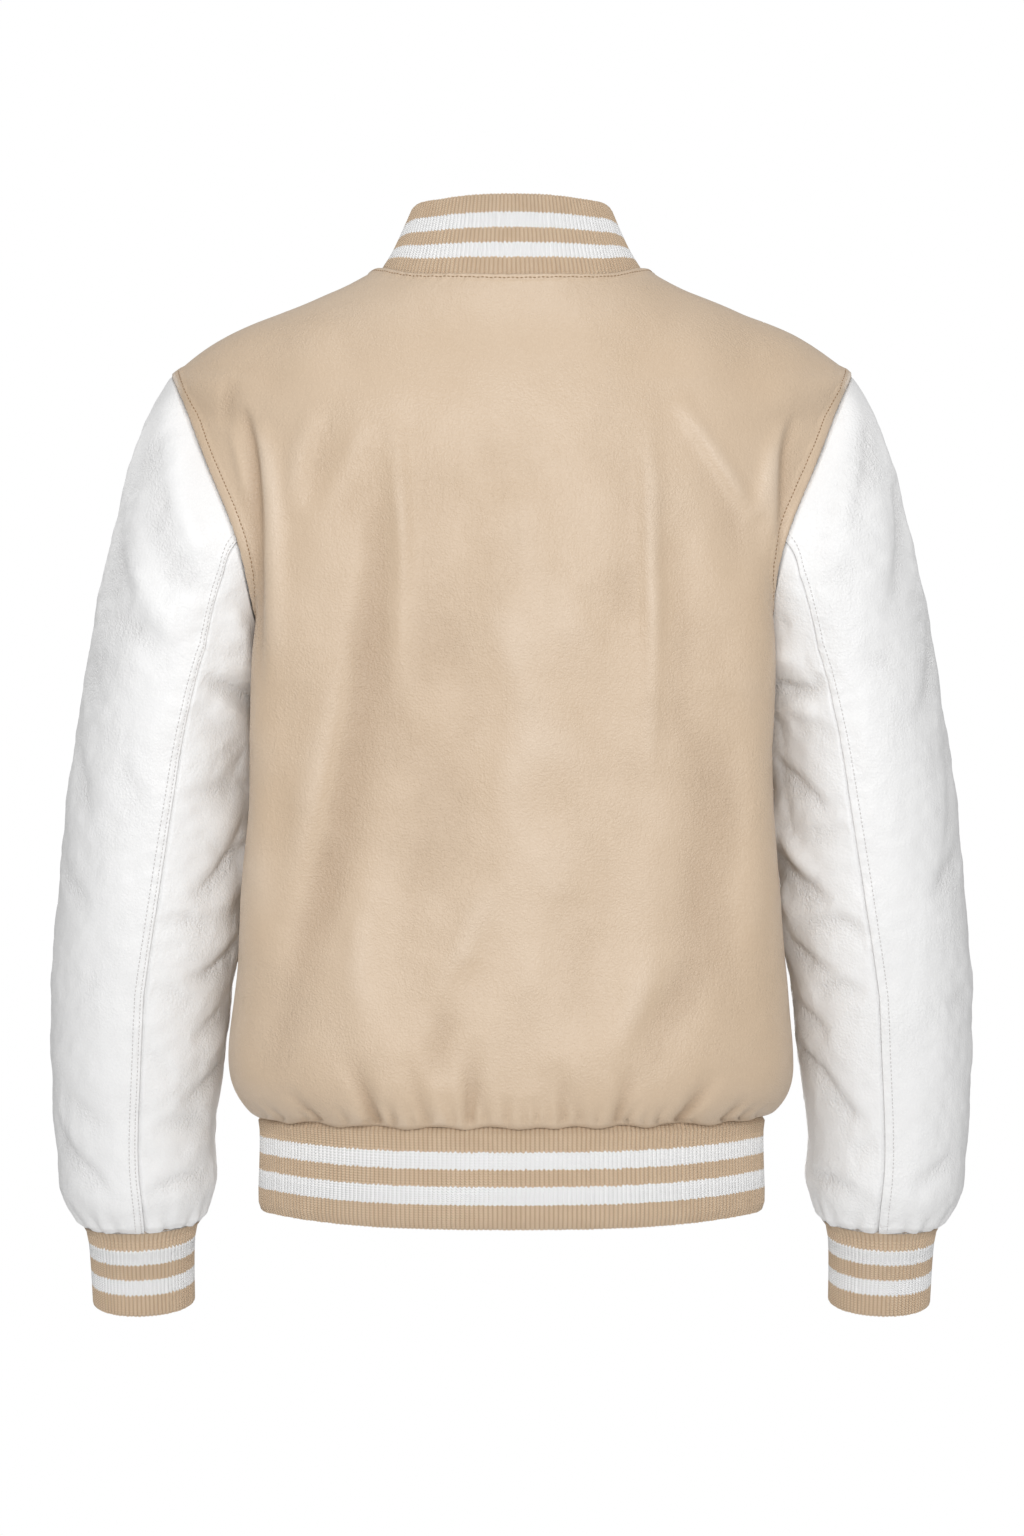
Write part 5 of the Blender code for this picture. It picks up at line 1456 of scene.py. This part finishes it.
def rib_knit(name, height, edges):
    """Rib knit in tan and white stripes: each rib is a column of V-shaped stitches, with painted shade in
    its grooves.
    """
    made, tree, shader, places = new_material(
        name, roughness=0.88, Sheen_Weight=0.15, Sheen_Roughness=0.5, Specular_IOR_Level=0.2)
    place, across = places.outputs["Object"], places.outputs["UV"]
    split = tree.nodes.new("ShaderNodeSeparateXYZ")
    tree.links.new(across, split.inputs[0])
    rib, share = split.outputs[0], split.outputs[1]
    within = calculate(tree, "FRACT", rib)
    from_middle = calculate(tree, "ABSOLUTE", calculate(tree, "MULTIPLY_ADD", within, 2.0, -1.0))
    courses = height / COURSE
    course = calculate(tree, "MULTIPLY_ADD", share, courses, times(tree, from_middle, COURSE_SLANT))

    jagged = noise(tree, stretched(tree, across, (1.0, 0.5, 1.0)), scale=1.7, detail=1.0)
    wander = calculate(tree, "MULTIPLY_ADD", jagged, STRIPE_WANDER / courses, -STRIPE_WANDER / 2 / courses)
    level = plus(tree, share, wander)
    level = plus(tree, level, times(tree, from_middle, STRIPE_SLANT / courses))
    inside = calculate(tree, "GREATER_THAN", share, FOLDED_OVER)
    stripes = times(tree, stripe_share(tree, level, edges), calculate(tree, "SUBTRACT", 1.0, inside))
    mottle = ramp(tree, noise(tree, place, scale=60.0, detail=3.0, rough=0.6), low=0.3, high=0.7)
    tone = mixed(tree, stripes, mixed(tree, mottle, KNIT_TAN, KNIT_TAN_DARK), KNIT_WHITE)

    # Painted shade: darker in the grooves between ribs and in the gaps between courses, where shade falls
    groove = calculate(tree, "POWER", from_middle, GROOVE_POWER)
    wave = calculate(tree, "SINE", times(tree, course, 2 * math.pi))
    loop = calculate(tree, "MULTIPLY_ADD", wave, 0.5, 0.5)
    painted_course_shade = times(tree, calculate(tree, "SUBTRACT", 1.0, loop), COURSE_SHADE)
    painted_knit_shade = calculate(tree, "MULTIPLY_ADD", groove, GROOVE_SHADE, painted_course_shade)
    tone = mixed(tree, painted_knit_shade, tone, mixed(tree, stripes, KNIT_TAN_GROOVE_SHADE, KNIT_WHITE_GROOVE_SHADE))
    tree.links.new(tone, shader.inputs["Base Color"])
    bulge = times(tree, loop, calculate(tree, "SUBTRACT", 1.0, groove))
    fibre = noise(tree, place, scale=2600.0)
    bumped(tree, shader, calculate(tree, "MULTIPLY_ADD", fibre, FIBRE_HEIGHT, bulge), distance=0.0007)
    return made


def lining(name, colour, deep_colour):
    """Smooth woven lining."""
    made, tree, shader, places = new_material(
        name, roughness=0.55, Specular_IOR_Level=0.35, Sheen_Weight=0.1)
    place = places.outputs["Object"]
    threads = noise(tree, stretched(tree, place, (1.0, 1.0, 1.6)), scale=900.0, detail=1.0)
    twill = calculate(tree, "SINE", times(tree, threads, TWILL_TURNS))
    patches = ramp(tree, noise(tree, place, scale=14.0, detail=4.0, rough=0.6), low=0.3, high=0.75)
    tree.links.new(mixed(tree, patches, colour, deep_colour), shader.inputs["Base Color"])
    bumped(tree, shader, twill, distance=0.00012)
    return made


def brushed_metal(name):
    """Nickel with a faint brushed grain and slight tarnish."""
    made, tree, shader, places = new_material(name, roughness=0.3, Metallic=1.0)
    place = places.outputs["Object"]
    grain = noise(tree, stretched(tree, place, (1.0, 1.0, 14.0)), scale=900.0, detail=3.0, rough=0.6)
    tarnish = ramp(tree, noise(tree, place, scale=260.0, detail=4.0, rough=0.6), low=0.3, high=0.8)
    tree.links.new(mixed(tree, tarnish, METAL, METAL_DARK), shader.inputs["Base Color"])
    rough = calculate(tree, "MULTIPLY_ADD", grain, METAL_ROUGHNESS_RANGE, METAL_ROUGHNESS)
    tree.links.new(rough, shader.inputs["Roughness"])
    bumped(tree, shader, grain, distance=0.00008)
    return made


def thread(name, colour):
    """Twisted sewing thread."""
    made, tree, shader, places = new_material(
        name, roughness=0.6, Sheen_Weight=0.2, Specular_IOR_Level=0.3)
    wave = tree.nodes.new("ShaderNodeTexWave")
    tree.links.new(places.outputs["Object"], wave.inputs["Vector"])
    wave.inputs["Scale"].default_value = 420.0
    wave.bands_direction = "DIAGONAL"
    twist = wave.outputs["Fac"]
    dark = tuple(THREAD_SHADE * part for part in colour)
    tone = mixed(tree, ramp(tree, twist, low=0.0, high=0.6), dark, colour)
    tree.links.new(tone, shader.inputs["Base Color"])
    bumped(tree, shader, twist, distance=0.0002)
    return made


def floor_finish():
    """A pale floor, a little uneven in tone."""
    made, tree, shader, places = new_material("studio_floor", roughness=0.9, Specular_IOR_Level=0.1)
    patches = ramp(tree, noise(tree, places.outputs["Object"], scale=4.0, detail=3.0), low=0.2, high=0.8)
    tree.links.new(mixed(tree, patches, FLOOR_COLOUR, SECOND_FLOOR_COLOUR), shader.inputs["Base Color"])
    return made


# ---------------------------------------------------------------- pieces

def torso_piece(name, finishes, sewing):
    """One panel of the torso as a shell, with its topstitching."""
    whole = name == "back"
    if whole:
        piece = panel(BACK, FRONT, BACK_COLUMN_COUNT, BACK_FOLDS, BACK_GATHERS, 1, whole=True)
    else:
        side, under = (1, 0.0) if name == "front_left" else (-1, BODY_WALL + LAP_CLEARANCE)
        piece = panel(FRONT, BACK, FRONT_COLUMN_COUNT, FRONT_FOLDS, FRONT_GATHERS, side, under)
    made = shell(name + "_leather", piece, BODY_WALL, np.zeros(3), finishes)
    points = piece["points"]
    normals = facing_out(surface_normals(points), points, np.zeros(3))
    beside = (piece["rows"] >= STITCH_FIRST_ROW) & (piece["rows"] <= STITCH_LAST_ROW)
    armhole = piece["to_armhole"][beside], points[beside], normals[beside]
    lines = [crossing(*mirrored_grid(*armhole), ARMHOLE_STITCH_IN)]
    if whole:
        lines.append(crossing(*armhole, ARMHOLE_STITCH_IN))
    else:
        lines.append(crossing(piece["to_front"], points, normals, FRONT_STITCH_IN))
    lines.append(crossing(*turned_grid(piece["to_neck"], points, normals), STITCH_IN))
    return made, stitching(name + "_topstitching", lines, sewing)


def sleeve_piece(side_name, side, piece_name, finishes, sewing):
    """The upper or under sleeve as a shell, with its topstitching."""
    columns = UPPER_COLUMN_COUNT if piece_name == "upper" else UNDER_COLUMN_COUNT
    piece = sleeve_panel(side_name, piece_name, columns)
    middle = np.array((side * SLEEVE_MIDDLE, 0.0, 0.0))
    name = f"sleeve_{side_name}_{piece_name}"
    made = shell(name + "_leather", piece, SLEEVE_WALL, middle, finishes)
    if piece_name == "under":
        return made, None
    points = piece["points"]
    normals = facing_out(surface_normals(points), points, middle)
    lines = [crossing(*mirrored_grid(piece["to_seam"], points, normals), inset)
             for inset in SLEEVE_STITCHES[side_name]]
    return made, stitching(name + "_topstitching", lines, sewing)


def band_pieces(knits):
    """The collar, the waistband and the cuffs."""
    tuck, *collar = [even_columns(collar_loop(ring), COLLAR_RIBS * RIB_COLUMNS)
                     for ring in (COLLAR_TUCK,) + COLLAR]
    collar = natural_spline(np.stack(collar), np.linspace(0.0, len(COLLAR) - 1, COLLAR_STEPS + 1))
    collar = np.concatenate([tuck[None], collar])
    waistband = hem_rings(HEM_RIBS * RIB_COLUMNS)
    pieces = {"collar": rib_band("collar_knit", collar, COLLAR_RIBS, False, knits["collar"]),
              "hem_band": rib_band("waistband_knit", waistband, HEM_RIBS, False, knits["hem_band"])}
    for side_name, side in SIDES:
        rings = ring_points(CUFF_RINGS, np.arange(0.0, 360.0, 1.0))
        rings = np.stack([even_columns(ring, CUFF_RIBS * RIB_COLUMNS, closed=True) for ring in rings])
        rings[:, :, 0] *= side
        name = f"cuff_{side_name}"
        pieces[name] = rib_band(name + "_knit", rings, CUFF_RIBS, True, knits["cuff"])
    return pieces


def front_centre(row):
    """The point and outward normal of the left front on the centre line, at a torso row."""
    near = section_controls(FRONT, BACK, [row - CENTRE_STEP, row, row + CENTRE_STEP])[:, 0]
    down = near[2] - near[0]
    normal = np.array((0.0, down[2], -down[1]))
    return near[1], normal / np.linalg.norm(normal)


# ---------------------------------------------------------------- studio

def area_light(name, place, target, size, power):
    """A soft square light aimed at a point, in metres."""
    lamp = bpy.data.lights.new(name, "AREA")
    lamp.shape = "SQUARE"
    lamp.size = size
    lamp.energy = power
    made = bpy.data.objects.new(name, lamp)
    made.visible_camera = False
    made.location = place
    made.rotation_euler = (Vector(target) - Vector(place)).to_track_quat("-Z", "Y").to_euler()
    bpy.context.scene.collection.objects.link(made)


def studio():
    """White surroundings, big soft lights, a pale floor and the photograph's camera."""
    world = bpy.data.worlds.new("studio")
    bpy.context.scene.world = world
    world.use_nodes = True
    tree = world.node_tree
    seen = tree.nodes["Background"]
    seen.inputs["Color"].default_value = WHITE
    seen.inputs["Strength"].default_value = BACKDROP_STRENGTH
    ambient = tree.nodes.new("ShaderNodeBackground")
    ambient.inputs["Color"].default_value = WHITE
    ambient.inputs["Strength"].default_value = AMBIENT_STRENGTH
    path = tree.nodes.new("ShaderNodeLightPath")
    choice = tree.nodes.new("ShaderNodeMixShader")
    tree.links.new(path.outputs["Is Camera Ray"], choice.inputs[0])
    tree.links.new(ambient.outputs[0], choice.inputs[1])
    tree.links.new(seen.outputs[0], choice.inputs[2])
    tree.links.new(choice.outputs[0], tree.nodes["World Output"].inputs[0])
    for light in LIGHTS:
        area_light(**dict(zip(LIGHT_COLUMNS, light)))

    floor = new_object("studio_floor", np.array(FLOOR_CORNERS) / MM, ((np.array([[0, 1, 2, 3]]), 0),),
                       (floor_finish(),))

    camera = bpy.data.objects.new("camera", bpy.data.cameras.new("camera"))
    camera.location = (0.0, CAMERA_DISTANCE * MM, CAMERA_HEIGHT * MM)
    camera.rotation_euler = (math.pi / 2, 0.0, math.pi)
    camera.data.sensor_fit = "AUTO"
    camera.data.sensor_width = SENSOR
    camera.data.lens = SENSOR * CAMERA_DISTANCE / (PHOTO_HEIGHT * PIXEL)
    camera.data.shift_x = (PHOTO_WIDTH / 2 - PHOTO_CENTRE) / PHOTO_HEIGHT
    camera.data.clip_end = SEEN_DEPTH
    bpy.context.scene.collection.objects.link(camera)
    bpy.context.scene.camera = camera
    bpy.context.scene.view_settings.view_transform = "Standard"


# ---------------------------------------------------------------- scene

def main():
    """Builds every piece, ties it to the root body in place of its hidden CAD node and sets up the studio.
    """
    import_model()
    tan, white = leather("tan_leather_grain", TAN_LEATHER), leather("white_leather_grain", WHITE_LEATHER)
    tan_lining, pale_lining = lining("body_lining", *TAN_LINING), lining("sleeve_lining", *PALE_LINING)
    tan_sewing, white_sewing = thread("tan_thread", TAN_THREAD), thread("white_thread", WHITE_THREAD)
    knits = {"collar": rib_knit("collar_stripes", COLLAR_HEIGHT, COLLAR_STRIPES),
             "hem_band": rib_knit("waistband_stripes", HEM_RINGS[-1][0], HEM_STRIPES),
             "cuff": rib_knit("cuff_stripes", CUFF_HEIGHT, CUFF_STRIPES)}
    metal = brushed_metal("snap_nickel")

    pieces, threads = {}, {}
    for name in ("back", "front_left", "front_right"):
        pieces[name], threads[name] = torso_piece(name, (tan, tan_lining), tan_sewing)
    for side_name, side in SIDES:
        for piece_name in ("upper", "under"):
            name = f"sleeve_{side_name}_{piece_name}"
            pieces[name], threads[name] = sleeve_piece(
                side_name, side, piece_name, (white, pale_lining), white_sewing)
    pieces.update(band_pieces(knits))

    for name, piece in pieces.items():
        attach(piece, "root")
        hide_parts(name)
        if threads.get(name):
            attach(threads[name], "root")

    snaps = [front_centre(row) for row in SNAP_LEVELS]
    hem_centre, _ = front_centre(len(FRONT) - 1)
    snaps.append((hem_centre - (0, RIB_HEIGHT, HEM_SNAP_DROP), (0.0, -1.0, 0.0)))
    for number, (point, normal) in enumerate(snaps, start=1):
        cap = snap(f"snap_{number}_cap", point, normal, metal)
        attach(cap, "root")
        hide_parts(f"snap_{number}")

    studio()


main()
